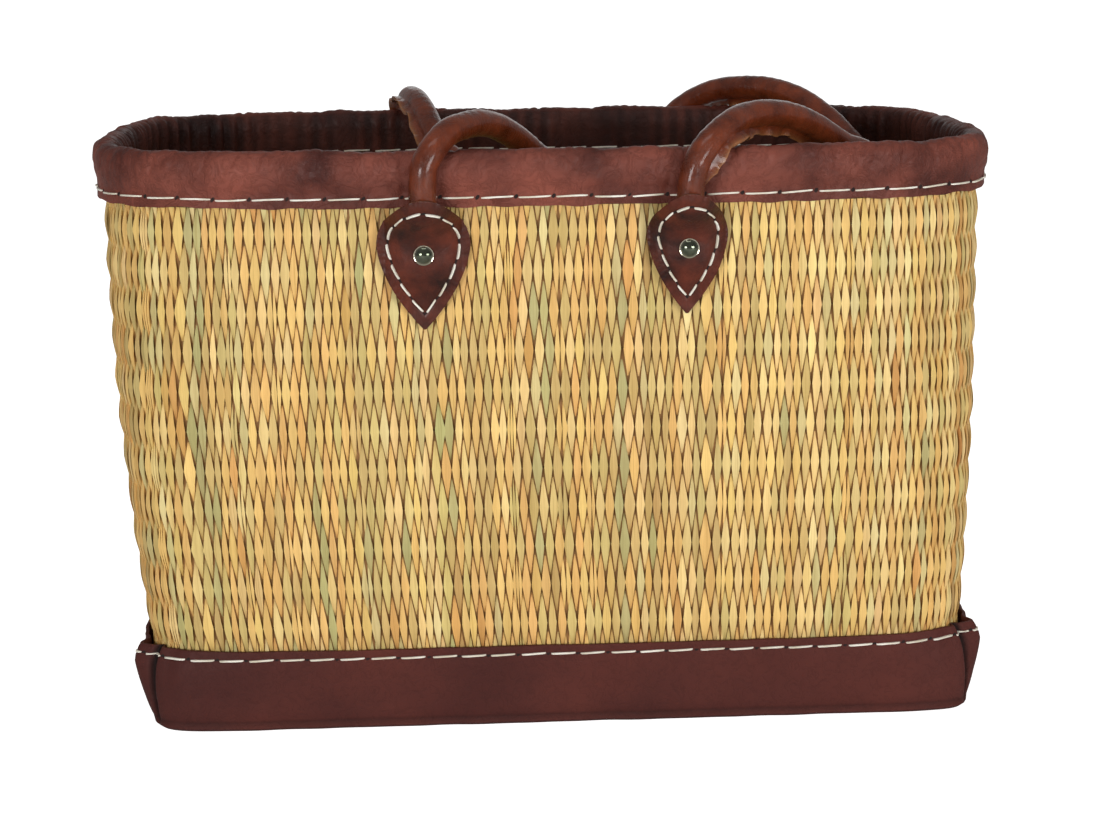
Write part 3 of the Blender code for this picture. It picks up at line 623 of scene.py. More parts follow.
# The surface of leather: pebbled grain, fine creases, and soft patches of lighter and darker dye.
hide, hide_in, hide_out = new_group(
    "leather hide",
    [("Grain", "NodeSocketFloat", 900.0), ("Crease", "NodeSocketFloat", 60.0), ("Patch", "NodeSocketFloat", 22.0)],
    [("Patches", "NodeSocketFloat"), ("Creases", "NodeSocketFloat"), ("Pores", "NodeSocketFloat"),
     ("Height", "NodeSocketFloat")],
)
place = object_place(hide)
patch = noise(hide, place, hide_in.outputs["Patch"], 3.0)
warp = noise(hide, place, hide_in.outputs["Crease"], 5.0, Roughness=0.62, Distortion=1.2)
ridge = counted(hide, "ABSOLUTE", counted(hide, "SUBTRACT", warp, 0.5))
creased = counted(hide, "SMOOTH_MIN", counted(hide, "MULTIPLY", ridge, 14.0), 1.0, 0.3)
pebbles = node(hide, "ShaderNodeTexVoronoi", {"Vector": place, "Scale": hide_in.outputs["Grain"]},
               feature="SMOOTH_F1")
height = counted(hide, "MULTIPLY_ADD", pebbles.outputs["Distance"], -0.45,
                 counted(hide, "MULTIPLY", creased, 0.9))
for value, label in ((patch, "Patches"), (creased, "Creases"),
                     (pebbles.outputs["Distance"], "Pores"), (height, "Height")):
    hide.links.new(value, hide_out.inputs[label])


def leather(name, dark, light, roughness, coat, grain, crease, patch, bump, raw_edge=None, with_painted_shade=False):
    """Dyed leather: patches between two dyes, creases darkened by painted shade, broken shine and a pebbled bump.
    """
    material, tree, shader = new_material(name)
    surface = node(tree, "ShaderNodeGroup")
    surface.node_tree = hide
    surface.inputs["Grain"].default_value = grain
    surface.inputs["Crease"].default_value = crease
    surface.inputs["Patch"].default_value = patch
    dyed = ramp(tree, surface.outputs["Patches"], ((0.30, dark), (0.70, light)))
    crease_shade = ramp(tree, surface.outputs["Creases"], ((0.0, (0.70, 0.66, 0.64)), (0.45, (1.0, 1.0, 1.0))))
    colour = mixed(tree, 0.55, dyed, mixed(tree, 1.0, dyed, crease_shade, "MULTIPLY"))
    if raw_edge is not None:
        colour = mixed(tree, painted(tree, "raw", "Fac"), colour, raw_edge)
    # Multiplies in the colours the mesh carries: painted shade in slots, creases and folds, and darker dye on the
    # binding's mouth side.
    if with_painted_shade:
        colour = mixed(tree, 1.0, colour, painted(tree, "tone_and_shade", "Color"), "MULTIPLY")
    tree.links.new(colour, shader.inputs["Base Color"])
    broken = counted(tree, "MULTIPLY_ADD", surface.outputs["Patches"], 0.30, roughness - 0.15)
    tree.links.new(counted(tree, "MULTIPLY_ADD", surface.outputs["Pores"], 0.12, broken),
                   shader.inputs["Roughness"])
    shader.inputs["Specular IOR Level"].default_value = 0.2
    shader.inputs["Coat Weight"].default_value = coat
    shader.inputs["Coat Roughness"].default_value = max(roughness - 0.12, 0.12)
    bumped(tree, shader, surface.outputs["Height"], bump, 0.0005)
    return material


binding_skin = smooth_line(
    ((0.00555, RIM_EDGE), (0.00545, 0.2780), (0.0058, 0.2820), (0.0067, 0.2875), (0.0069, 0.2930), (0.0057, 0.2985),
     (0.0026, 0.3016), (-0.0020, 0.3018), (-0.0058, 0.2990), (-0.0070, 0.2935), (-0.0066, 0.2875),
     (-0.0060, 0.2820), (-0.00555, 0.2780), (-0.00555, RIM_EDGE)), 4)
binding_back = np.array(
    ((-0.00335, RIM_EDGE), (-0.00335, 0.2805), (-0.0044, 0.2875), (-0.0044, 0.2945), (-0.0022, 0.2985),
     (0.0, 0.2994), (0.0022, 0.2985), (0.0044, 0.2945), (0.0044, 0.2875), (0.00335, 0.2805), (0.00335, RIM_EDGE)))
binding_section = np.vstack([binding_skin, binding_back])
skin_rows = len(binding_skin)
skin_reach = np.linspace(0.0, 1.0, skin_rows)
facing = np.gradient(binding_skin, axis=0)
facing = np.stack([facing[:, 1], -facing[:, 0]], -1) / np.hypot(facing[:, 0], facing[:, 1])[:, None]
RIM_STITCHES = 68


def binding_relief(share, reach):
    """How far the leather stands out of its plain section: puffs, creases, puckers at the stitches and
    pleats inside the two curved ends."""
    puff = np.clip(1.0 - np.abs(reach - 0.40) / 0.36, 0.0, 1.0)
    relief = 0.00065 * puff * ripple(share, (9, 14, 22, 31, 47), 5, 0.8, reach)
    relief += 0.00050 * puff * np.abs(ripple(share, (61, 83, 104, 131, 149), 6, 2.5, reach)) - 0.0002 * puff
    lines = np.exp(-(ripple(share, (17, 29, 38, 53), 7, 3.0, reach * 1.3) / 0.16) ** 2)
    relief -= 0.00075 * lines * puff
    at_seam = np.exp(-((reach - 0.145) / 0.05) ** 2)
    along_stitch = (share * RIM_STITCHES) % 1.0
    pull = np.exp(-(np.minimum(along_stitch, 1.0 - along_stitch) / 0.10) ** 2)
    relief -= at_seam * (0.00035 + 0.00045 * pull)
    bend = 0.5 + 0.5 * np.cos(4 * math.pi * share)
    inside = np.clip((reach - 0.55) / 0.12, 0.0, 1.0) * np.clip((0.99 - reach) / 0.12, 0.0, 1.0)
    folds = np.clip(ripple(share, (118, 131, 146, 160), 8), -0.4, 1.6)
    relief += 0.0013 * folds * inside * bend ** 2 + 0.0004 * folds * inside
    return relief


def binding_dye_and_shade(row, share):
    """Outside full colour with soft darker bands; the mouth side darker, part dye, part painted shade, most in its
    folds; hidden rows painted dark.
    """
    if row >= skin_rows:
        return 0.4
    inside = float(np.clip((skin_reach[row] - 0.50) / 0.10, 0.0, 1.0))
    share = share[:, None]
    folds = np.clip(ripple(share, (118, 131, 146, 160), 8), -1.0, 1.0)
    return 1.0 - inside * (0.70 - 0.10 * folds) - 0.12 * (1.0 - inside) * np.clip(
        -ripple(share, (5, 9, 13), 21, 1.5, skin_reach[row]), 0.0, 1.0)


def binding_row(row, share):
    stand, height = binding_section[row]
    if row < skin_rows:
        relief = binding_relief(share, skin_reach[row])
        edge = 0.0005 * ripple(share, (12, 23, 41, 67), 9) * math.exp(-(skin_reach[row] / 0.10) ** 2)
        stand = stand + facing[row, 0] * relief
        lifted = facing[row, 1] * relief + edge
    else:
        lifted = 0.0
    points, out = round_wall(share, float(height))
    points = points + out * (np.asarray(stand) - WEAVE_THICK / 2).reshape(-1, 1)
    points[:, 2] += lifted
    return points


rim_leather = leather("rim_leather", shade(74, 33, 26), shade(138, 74, 60), 0.46, 0.05, 1300.0, 110.0, 30.0, 0.6,
                      with_painted_shade=True)
binding = bent_hoop("rim_binding_strip", (64, 20), len(binding_section), binding_row, binding_dye_and_shade,
                    rim_leather)
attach(binding, "basket")
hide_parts("rim_binding")

# ---------------------------------------------------------------------------------------------------
# Rim seam: thick waxed thread, long stitches that almost touch, sewn through both hems and the wall.
# A dark disc of painted shade stands for the needle hole between each stitch and the next.

thread, tree, shader = new_material("waxed_thread")
soil = noise(tree, object_place(tree), 90.0)
base = ramp(tree, soil, ((0.35, shade(214, 205, 184)), (0.65, shade(246, 242, 230))))
tree.links.new(base, shader.inputs["Base Color"])
shader.inputs["Roughness"].default_value = 0.55
bumped(tree, shader, noise(tree, object_place(tree), 1500.0, 3.0), 0.6, 0.0002)

# Painted shade: a near black disc that stands for the shadow inside a needle hole.
hole, tree, shader = new_material("needle_hole_shade")
shade_mottle = noise(tree, object_place(tree), 800.0)
tree.links.new(ramp(tree, shade_mottle, ((0.3, shade(18, 9, 8)), (0.7, shade(42, 22, 18)))),
               shader.inputs["Base Color"])
shader.inputs["Roughness"].default_value = 0.9

stitch_side, stitch_ring, stitch_faces = blank_tube(6, 8)
hole_side, hole_ring, hole_faces = blank_tube(8, 2)
STITCH_PLACES = np.array([0.0, 0.025, 0.08, 0.25, 0.5, 0.75, 0.92, 0.975, 1.0])
STITCH_GIRTH = np.array([0.30, 0.75, 1.0, 1.04, 1.0, 1.04, 1.0, 0.75, 0.30])
STITCH_SINK = np.array([-1.5, -0.6, 0.25, 0.55, 0.6, 0.55, 0.25, -0.6, -1.5])


def sewn(name, track, normals, lengths, starts, radius, body, replaced, slant=0.35):
    """Stitches along a track of points, each from a start for its length, and after each a dark disc of painted
    shade for its needle hole.
    """
    along = travelled(track)

    def at(where, values):
        return np.stack([np.interp(where, along, values[:, k]) for k in range(3)], -1)

    def spots(where):
        """Points on the track with the directions out, ahead and beside it."""
        out = unit(at(where, normals))
        ahead = unit(at(where + 1e-4, track) - at(where - 1e-4, track))
        return at(where, track), out, ahead, np.cross(out, ahead)

    middle, out, _, beside = spots(starts[:, None] + STITCH_PLACES[stitch_ring][None, :] * lengths[:, None])
    turn = 2 * math.pi * stitch_side / 6
    girths = radius * STITCH_GIRTH[stitch_ring]
    skew = (STITCH_PLACES[stitch_ring] - 0.5) * slant * radius * 2.0
    points = (middle + beside * (girths * np.cos(turn) + skew)[None, :, None]
              + out * (girths * np.sin(turn) * 0.85 + radius * STITCH_SINK[stitch_ring])[None, :, None])
    seam = copies(name, stitch_faces, points, thread)
    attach(seam, body)
    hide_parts(*replaced)

    after = np.append(starts[1:], starts[0] + along[-1])
    middle, out, ahead, beside = spots((0.5 * (starts + lengths + after) % along[-1])[:, None])
    turn = 2 * math.pi * hole_side / 8
    lean = 0.35
    tall, broad = 1.7 * radius * np.sin(turn), 1.35 * radius * np.cos(turn)
    rise = np.array([-0.0004, 0.00004, 0.00010])[hole_ring]
    shrink = np.array([1.0, 1.0, 0.7])[hole_ring]
    points = (middle + ahead * ((broad + lean * tall) * shrink)[None, :, None]
              + beside * (tall * shrink)[None, :, None] + out * rise[None, :, None])
    hole_shades = copies(name + "_holes", hole_faces, points, hole)
    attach(hole_shades, body)


rng = np.random.default_rng(3)
stitch_reach = float(np.interp(RIM_STITCH_HEIGHT, binding_skin[:12, 1], skin_reach[:12]))
stitch_stand = float(np.interp(RIM_STITCH_HEIGHT, binding_skin[:12, 1], binding_skin[:12, 0]))
for seam_name, inside in (("rim_stitch_outer", False), ("rim_stitch_inner", True)):
    shares = np.linspace(0.0, 1.0, 2721)
    reach = 1.0 - stitch_reach if inside else stitch_reach
    relief = binding_relief(shares, reach)
    if inside:
        stand = -WEAVE_THICK / 2 - (stitch_stand + relief)
    else:
        stand = -WEAVE_THICK / 2 + stitch_stand + relief
    flat, out = round_wall(shares, RIM_STITCH_HEIGHT)
    track = flat + out * stand[:, None]
    track[:, 2] += 0.0003 * ripple(shares, (7, 19, 33), 12)
    pitch = travelled(track)[-1] / RIM_STITCHES
    begins = np.arange(RIM_STITCHES) * pitch + 0.0010 + rng.normal(0, 0.0002, RIM_STITCHES)
    spans = pitch - 0.0020 + rng.normal(0, 0.0002, RIM_STITCHES)
    sewn(seam_name + "_thread", track, -out if inside else out, spans, begins, RIM_THREAD, "basket",
         [seam_name])

# ---------------------------------------------------------------------------------------------------
# Base shoe: a shallow tray of matt dark leather turned up round the foot and sewn to the weave. The
# spare leather at each corner is pinched into an ear, with a slot in front of it.

SHOE_HEIGHT = 0.0440
ear_ray = math.radians(26.0)


def ear_places(height):
    """Shares of the way round, and the points, of the four ears at a height."""
    half_length, half_depth, power, _ = wall_size(height)
    x, y, along = outline(height)
    px = half_length * math.cos(ear_ray) ** (2 / power)
    py = half_depth * math.sin(ear_ray) ** (2 / power)
    nearest = int(np.hypot(x[:601] - px, y[:601] - py).argmin())
    share = along[nearest] / along[-1]
    return (share, 0.5 - share, 0.5 + share, 1.0 - share)


def past_ears(share, height):
    """For each ear, how far each place lies past it from the long side towards the basket's end, and
    which way along X and Y the ear points."""
    for number, middle in enumerate(ear_places(height)):
        past = ((share - middle + 0.5) % 1.0 - 0.5) * girth(height)
        yield (-past if number in (0, 2) else past, -1.0 if number in (1, 2) else 1.0,
               1.0 if number in (0, 1) else -1.0)


def slot_at(past, rise):
    """1 in the slot where the leather is pinched in front of an ear."""
    return np.exp(-np.abs((past + 0.0066) / 0.0017) ** 3.0) * min(max((rise - 0.04) / 0.1, 0.0), 1.0)


def shoe_face(share, height, stand):
    """The shoe's outer face at a height, with the ears, their slots and the leather's slackness."""
    points, out = round_wall(share, height)
    rise = height / SHOE_HEIGHT
    # The sole's corners are squarer than the weave's.
    half_length, half_depth, power, side_shift = wall_size(height)
    middle = np.array([side_shift, 0.0])
    away = points[:, :2] - middle
    square = power + 10.0 * max(1.0 - rise, 0.0)
    reach = np.abs(away[:, 0] / half_length) ** square + np.abs(away[:, 1] / half_depth) ** square
    push = reach ** (-1.0 / square)
    points[:, :2] = middle + away * push[:, None]
    slack = 0.00035 * ripple(share, (11, 17, 29, 43), 14, 0.6, height * 20)
    crease = -0.00045 * math.exp(-((height - 0.0055) / 0.0016) ** 2)
    seam = -0.00045 * math.exp(-((height - 0.0395) / 0.0016) ** 2)
    sizes = stand + slack + crease + seam
    shift = np.zeros_like(points)
    for past, side, depth in past_ears(share, height):
        reach = 0.0066 * (0.05 + 0.95 * min(rise / 0.82, 1.0)) * (1.0 - 0.35 * max(rise - 0.82, 0.0) / 0.18)
        bump = np.exp(-np.abs((past - 0.0015) / 0.0068) ** 2.6)
        shift[:, 0] += side * reach * bump
        shift[:, 1] += depth * reach * 0.22 * bump
        pucker = 0.0009 * np.sin(past / 0.0021) * np.exp(-(past / 0.020) ** 2) * rise
        sizes = sizes - 0.0030 * slot_at(past, rise) + pucker
    return points + out * np.asarray(sizes).reshape(-1, 1) + shift


def shoe_shade(row, share):
    """Full colour, but painted shade: near black in the slots and a little darker along the crease above the sole.
    """
    if not first_side <= row <= last_side:
        return 1.0
    level = float(shoe_levels[row - first_side])
    share = np.interp(share, crowd, COLUMN_SHARES)[:, None]
    left = np.ones_like(share) * (1.0 - 0.35 * math.exp(-((level - 0.0052) / 0.0012) ** 2))
    for past, _, _ in past_ears(share, level):
        left = left * (1.0 - 0.9 * slot_at(past, level / SHOE_HEIGHT))
    return left


SHOE_OUT = LEATHER_GAP + LEATHER_THICK
shoe_levels = np.concatenate([[0.0008, 0.0020], np.linspace(0.0035, 0.0430, 24), [0.0438]])
shoe_section = [(-1.0, 0.0), (-0.5, 0.0), (-0.035, 0.0), (-0.015, 0.0)]
shoe_section += [(SHOE_OUT - 0.0006, float(shoe_levels[0]))] + [(SHOE_OUT, float(z)) for z in shoe_levels[1:-1]]
shoe_section += [(SHOE_OUT - 0.0004, SHOE_HEIGHT), (LEATHER_GAP + 0.0003, SHOE_HEIGHT)]
shoe_section += [(LEATHER_GAP, 0.030), (LEATHER_GAP, 0.012), (LEATHER_GAP, LEATHER_THICK)]
shoe_section += [(-0.035, LEATHER_THICK), (-0.5, LEATHER_THICK), (-1.0, LEATHER_THICK)]
first_side = 4
last_side = first_side + len(shoe_levels) - 1

COLUMN_SHARES = np.linspace(0.0, 1.0, 1401)
ear_share = ear_places(0.03)
crowd = np.ones(1401)
for middle in ear_share:
    crowd += 4.0 * np.exp(-(((COLUMN_SHARES - middle + 0.5) % 1.0 - 0.5) / 0.016) ** 2)
crowd = np.concatenate(([0.0], np.cumsum(crowd[:-1])))
crowd /= crowd[-1]


def shoe_row(row, share):
    share = np.interp(share, crowd, COLUMN_SHARES)
    stand, height = shoe_section[row]
    if first_side <= row <= last_side:
        level = float(shoe_levels[row - first_side])
        return shoe_face(share, level, stand)
    if row == last_side + 1 or height == SHOE_HEIGHT:
        wave = 0.0004 * ripple(share, (9, 21, 37), 15)
        points = shoe_face(share, 0.0438, stand)
        points[:, 2] = SHOE_HEIGHT - 0.0001 + wave * 0.3
        return points
    if stand > -0.01:
        return round_wall(share, float(height), stand)[0]
    if height == 0.0:
        points = shoe_face(share, 0.0005, SHOE_OUT - 0.0018)
    else:
        points = round_wall(share, float(height), LEATHER_GAP)[0]
    centre = np.array([0.006, 0.0, 0.0])
    points = centre + (points - centre) * np.array([1.0 + stand if stand < -0.02 else 0.97] * 2 + [1.0])
    if height == 0.0 and stand > -0.02:
        points = shoe_face(share, 0.0005, SHOE_OUT - 0.0026)
    points[:, 2] = height
    return points


shoe_leather = leather("shoe_leather", shade(74, 34, 30), shade(94, 46, 39), 0.60, 0.0, 1300.0, 140.0, 16.0, 0.30,
                       with_painted_shade=True)
shoe = bent_hoop("base_shoe_tray", (70, 20), len(shoe_section), shoe_row, shoe_shade, shoe_leather)
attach(shoe, "basket")
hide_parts("base_shoe")

# ---------------------------------------------------------------------------------------------------
# Shoe seam: the same thread, shorter stitches, through the shoe's hem and the foot of the wall.

SHOE_STITCH_HEIGHT = 0.0395
SHOE_PITCH = 0.0154
shares = np.linspace(0.0, 1.0, 3001)
track = shoe_face(shares, SHOE_STITCH_HEIGHT, SHOE_OUT)
_, out = round_wall(shares, SHOE_STITCH_HEIGHT)
around = travelled(track)[-1]
number = int(around / SHOE_PITCH)
pitch = around / number
begins = np.arange(number) * pitch + rng.normal(0, 0.0003, number) + 0.0009
sewn("base_stitch_outer_thread", track, out, np.full(number, pitch - 0.0021), begins, 0.00082, "basket",
     ["base_stitch_outer"])
track, out = round_wall(shares, SHOE_STITCH_HEIGHT, -WEAVE_THICK + 0.0001)
pitch = travelled(track)[-1] / number
begins = np.arange(number) * pitch + 0.0009
sewn("base_stitch_inner_thread", track, -out, np.full(number, pitch - 0.0021), begins, 0.00082, "basket",
     ["base_stitch_inner"])

# ---------------------------------------------------------------------------------------------------
# Tabs: four teardrops of dark glossy leather, each wet-moulded over the flat end of a handle, sewn all
# round and riveted. The cut edge is paler than the face.

TABS = (
    ("front_left", -1, -0.0642, 0.2765, 0.0232, 0.0630),
    ("front_right", -1, 0.0662, 0.2778, 0.0202, 0.0585),
    ("back_left", 1, -0.0710, 0.2768, 0.0225, 0.0610),
    ("back_right", 1, 0.0780, 0.2768, 0.0215, 0.0600),
)
TAB_HOOD = ((0.0, 0.0189), (0.0048, 0.0176), (0.0112, 0.0121), (0.0175, 0.0067), (0.033, 0.0064), (0.048, 0.0006))
TAB_INSET = 0.0056
TAB_SAG = 0.0078
TAB_RISE = 0.0032
TAB_STITCHES = 14
TAB_THREAD = 0.00085


def wall_face(x, height):
    """Distance of the weave's outer face from the middle plane on the long sides."""
    half_length, half_depth, power, shift = wall_size(height)
    across = np.minimum(np.abs(x - shift) / half_length, 0.98)
    return half_depth * (1.0 - across ** power) ** (1.0 / power)


def tab_half_width(drop, half_width, length):
    """Half width at a distance below the top: round at the top, widest at a third, pointed at the tip."""
    share = np.clip(np.asarray(drop, float) / length, 0.0, 1.0)
    rise = np.clip(1.0 - share / 0.35, 0.0, 1.0)
    fall = np.clip((share - 0.3) / 0.7, 0.0, 1.0)
    upper = half_width * np.sqrt(np.maximum(1.0 - rise ** 2.3, 0.0))
    return np.minimum(upper, half_width * (1.0 - fall ** 1.75) + 0.0006 * fall)


def tab_outline(half_width, length):
    """Half of a tab's outline, from the middle of the top round to the tip: (across, drop)."""
    drop = length * (0.5 - 0.5 * np.cos(np.linspace(0.0, math.pi, 400)))
    return np.stack([tab_half_width(drop, half_width, length), drop], -1)


def tab_surface(tab, across, drop, lift):
    """Points of a tab, across from its middle line and drop below its top, lifted off its hollow side."""
    _, side, middle, top, half_width, length = tab
    # The middle of the top is pulled up over the swelling of the handle.
    middle_part = np.maximum(1.0 - (np.abs(across) / (0.88 * half_width)) ** 2.2, 0.0)
    drop = drop - TAB_RISE * middle_part * np.clip(1.0 - drop / length, 0.0, 1.0) ** 3
    height = top - drop
    over = np.clip((height - (RIM_EDGE - 0.006)) / 0.005, 0.0, 1.0)
    low = LEATHER_GAP + (LEATHER_THICK + LEATHER_GAP) * over
    crown = sum(np.interp(drop + step, [d for d, _ in TAB_HOOD], [h for _, h in TAB_HOOD])
                for step in (-0.005, -0.003, -0.001, 0.001, 0.003, 0.005)) / 6.0
    crown = np.maximum(crown, low)
    arch = np.maximum(1.0 - (np.abs(across) / 0.019) ** 2.3, 0.0)
    off = low + (crown - low) * arch + lift
    return np.stack([middle + across, side * (wall_face(middle + across, height) + off), height], -1)


def tab_relief(tab, across, drop):
    """Groove under the seam, a crinkled border outside it and a soft dome inside."""
    _, _, middle, _, half_width, length = tab
    edge = tab_outline(half_width, length)
    from_edge = np.hypot(np.abs(across)[:, None] - edge[:, 0], drop[:, None] - edge[:, 1]).min(axis=1)
    groove = -0.00045 * np.exp(-((from_edge - TAB_INSET) / 0.0011) ** 2)
    around = np.arctan2(across, length * 0.42 - drop)
    crinkle = np.sin(around * 34 + 3 * np.sin(around * 5 + middle * 90)) * np.exp(-(from_edge / 0.0032) ** 2)
    dome = 0.0005 * np.clip((from_edge - TAB_INSET) / 0.006, 0.0, 1.0)
    return groove + 0.00022 * crinkle + dome


tab_leather = leather("tab_leather", shade(42, 18, 13), shade(104, 45, 29), 0.36, 0.12, 1500.0, 160.0, 75.0, 0.3)
tab_edge = leather("tab_cut_edge", shade(84, 44, 30), shade(140, 88, 64), 0.7, 0.0, 1500.0, 200.0, 90.0, 0.3)
for tab in TABS:
    tab_name, side, middle, top, half_width, length = tab
    bpy.ops.object.select_all(action="DESELECT")
    bpy.ops.mesh.primitive_grid_add(x_subdivisions=60, y_subdivisions=90, size=1.0)
    plate = bpy.context.object
    plate.name = "tab_" + tab_name + "_teardrop"
    flat = points_of(plate)
    share, reach = 0.5 - flat[:, 1], 2.0 * flat[:, 0]
    slump = TAB_SAG * (1.0 - share) ** 3
    across = reach * tab_half_width(share * length + slump, half_width, length)
    drop = share * length + slump * np.abs(reach) ** 2.2
    points = tab_surface(tab, across, drop, LEATHER_THICK + tab_relief(tab, across, drop))
    plate.data.vertices.foreach_set("co", points.ravel())
    plate.data.materials.append(tab_leather)
    plate.data.materials.append(tab_edge)
    on_whole_mesh(bpy.ops.mesh.normals_make_consistent, inside=False)
    outward = sum(p.normal.y * p.area for p in plate.data.polygons) * side > 0
    if not outward:
        plate.data.flip_normals()
    wall = plate.modifiers.new("thickness", "SOLIDIFY")
    wall.thickness = LEATHER_THICK
    wall.offset = -1.0
    wall.material_offset_rim = 1
    bpy.ops.object.modifier_apply(modifier=wall.name)
    soften = plate.modifiers.new("worn edge", "BEVEL")
    soften.width = 0.0004
    soften.segments = 2
    soften.limit_method = "ANGLE"
    soften.angle_limit = math.radians(50)
    bpy.ops.object.modifier_apply(modifier=soften.name)
    bpy.ops.object.shade_smooth_by_angle(angle=math.radians(45))
    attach(plate, "basket")
    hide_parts("tab_" + tab_name)

    # The seam runs round the tab at one distance from its edge, from the middle of the top and back.
    edge = tab_outline(half_width, length)
    ahead = unit(np.gradient(edge, axis=0))
    right = edge + TAB_INSET * np.stack([-ahead[:, 1], ahead[:, 0]], -1)
    right = right[right[:, 0] > 0.0003]
    across = np.concatenate([[0.0], right[:, 0], [0.0], -right[::-1, 0], [0.0]])
    drop = np.concatenate([[TAB_INSET], right[:, 1], [right[-1, 1] + 0.0003], right[::-1, 1], [TAB_INSET]])
    track = tab_surface(tab, across, drop, LEATHER_THICK + tab_relief(tab, across, drop))
    step = 2e-4
    sideways = (tab_surface(tab, across + step, drop, LEATHER_THICK)
                - tab_surface(tab, across - step, drop, LEATHER_THICK))
    downward = (tab_surface(tab, across, drop + step, LEATHER_THICK)
                - tab_surface(tab, across, drop - step, LEATHER_THICK))
    normals = np.cross(sideways, downward)
    normals *= np.sign(normals[:, 1:2]) * side
    pitch = travelled(track)[-1] / TAB_STITCHES
    begins = np.arange(TAB_STITCHES) * pitch + 0.0009
    spans = np.full(TAB_STITCHES, pitch - 0.0018)
    sewn("tab_stitch_" + tab_name + "_thread", track, normals, spans, begins, TAB_THREAD, "basket",
         ["tab_stitch_" + tab_name])

# ---------------------------------------------------------------------------------------------------
# Rivets and washers: a nickel cap with its dome painted dark as a painted reflection and its raised lip painted
# bright as a painted highlight, on a post that goes through tab, handle end and wall and is peened over a flat
# washer inside.

nickel, tree, shader = new_material("nickel")
smudge = noise(tree, object_place(tree), 320.0, 4.0)
# Painted reflection: the dome's dark colour stands for the dark surroundings mirrored in it; the pale lip colour is
# a painted highlight.
dark_reflection = ramp(tree, smudge, ((0.3, shade(74, 80, 66)), (0.7, shade(112, 116, 100))))
tree.links.new(mixed(tree, painted(tree, "lip", "Fac"), dark_reflection, shade(214, 208, 186)),
               shader.inputs["Base Color"])
shader.inputs["Metallic"].default_value = 1.0
tree.links.new(counted(tree, "MULTIPLY_ADD", smudge, 0.14, 0.03), shader.inputs["Roughness"])

RIVET_DROP = 0.0247
RIVET_SEAT = 0.0096
WASHER_SEAT = 0.0076
CAP_PROFILE = ((0.0, 0.0026), (0.0012, 0.00255), (0.0024, 0.00225), (0.0035, 0.00165), (0.0043, 0.0010),
               (0.0046, 0.0008), (0.0049, 0.0009), (0.0051, 0.0006), (0.0051, 0.0001), (0.0048, -0.0002),
               (0.0017, -0.0002), (0.0017, -0.0181), (0.0, -0.0181))
WASHER_PROFILE = ((0.0018, 0.0), (0.0043, 0.0), (0.0045, 0.0002), (0.0045, 0.0008), (0.0042, 0.0010),
                  (0.0018, 0.0010))


def turned(name, profile, x, foot_y, side, height, closed):
    """A part turned on a lathe, its axis along Y and its face towards the given side."""
    bpy.ops.object.select_all(action="DESELECT")
    bpy.ops.mesh.primitive_circle_add(vertices=len(profile), radius=0.01)
    part = bpy.context.object
    part.name = name
    spots = [(r, h, 0.0) for r, h in profile]
    part.data.vertices.foreach_set("co", np.array(spots).ravel())
    bpy.ops.object.mode_set(mode="EDIT")
    if not closed:
        bpy.ops.mesh.select_mode(type="EDGE")
        bpy.ops.mesh.select_all(action="DESELECT")
        bpy.ops.object.mode_set(mode="OBJECT")
        for edge in part.data.edges:
            edge.select = all(profile[k][0] == 0.0 for k in edge.vertices)
        bpy.ops.object.mode_set(mode="EDIT")
        bpy.ops.mesh.delete(type="EDGE")
        bpy.ops.mesh.select_mode(type="VERT")
    bpy.ops.mesh.select_all(action="SELECT")
    bpy.ops.mesh.spin(steps=48, angle=2 * math.pi, center=(0, 0, 0), axis=(0, 1, 0))
    bpy.ops.mesh.select_all(action="SELECT")
    bpy.ops.mesh.remove_doubles(threshold=1e-6)
    bpy.ops.object.mode_set(mode="OBJECT")
    flat = points_of(part)
    # Painted highlight and reflection: the raised lip is painted bright, the dome dark.
    lip = part.data.attributes.new("lip", "FLOAT", "POINT")
    lip.data.foreach_set("value", np.clip((np.hypot(flat[:, 0], flat[:, 2]) - 0.0042) / 0.0004, 0.0, 1.0))
    flat = np.stack([x + flat[:, 0], side * (foot_y + flat[:, 1]), height + flat[:, 2]], -1)
    part.data.vertices.foreach_set("co", flat.ravel())
    part.data.materials.append(nickel)
    finish(part, 35.0)
    return part


for tab in TABS:
    tab_name, side, middle, top, _, _ = tab
    level = top - RIVET_DROP
    face = float(wall_face(middle, level))
    cap = turned("rivet_" + tab_name + "_cap", CAP_PROFILE, middle, face + RIVET_SEAT, side, level, False)
    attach(cap, "basket")
    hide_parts("rivet_" + tab_name)
    disc = turned("rivet_washer_" + tab_name + "_disc", WASHER_PROFILE, middle, face - WASHER_SEAT, side,
                  level, True)
    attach(disc, "basket")
    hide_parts("rivet_washer_" + tab_name)

# ---------------------------------------------------------------------------------------------------
# Handles: glossy orange-brown leather rolled round a cord and glued, its wavy raw edge left standing
# as a flap. Each is one tube from tab to tab, flattened where it is riveted under the tab.

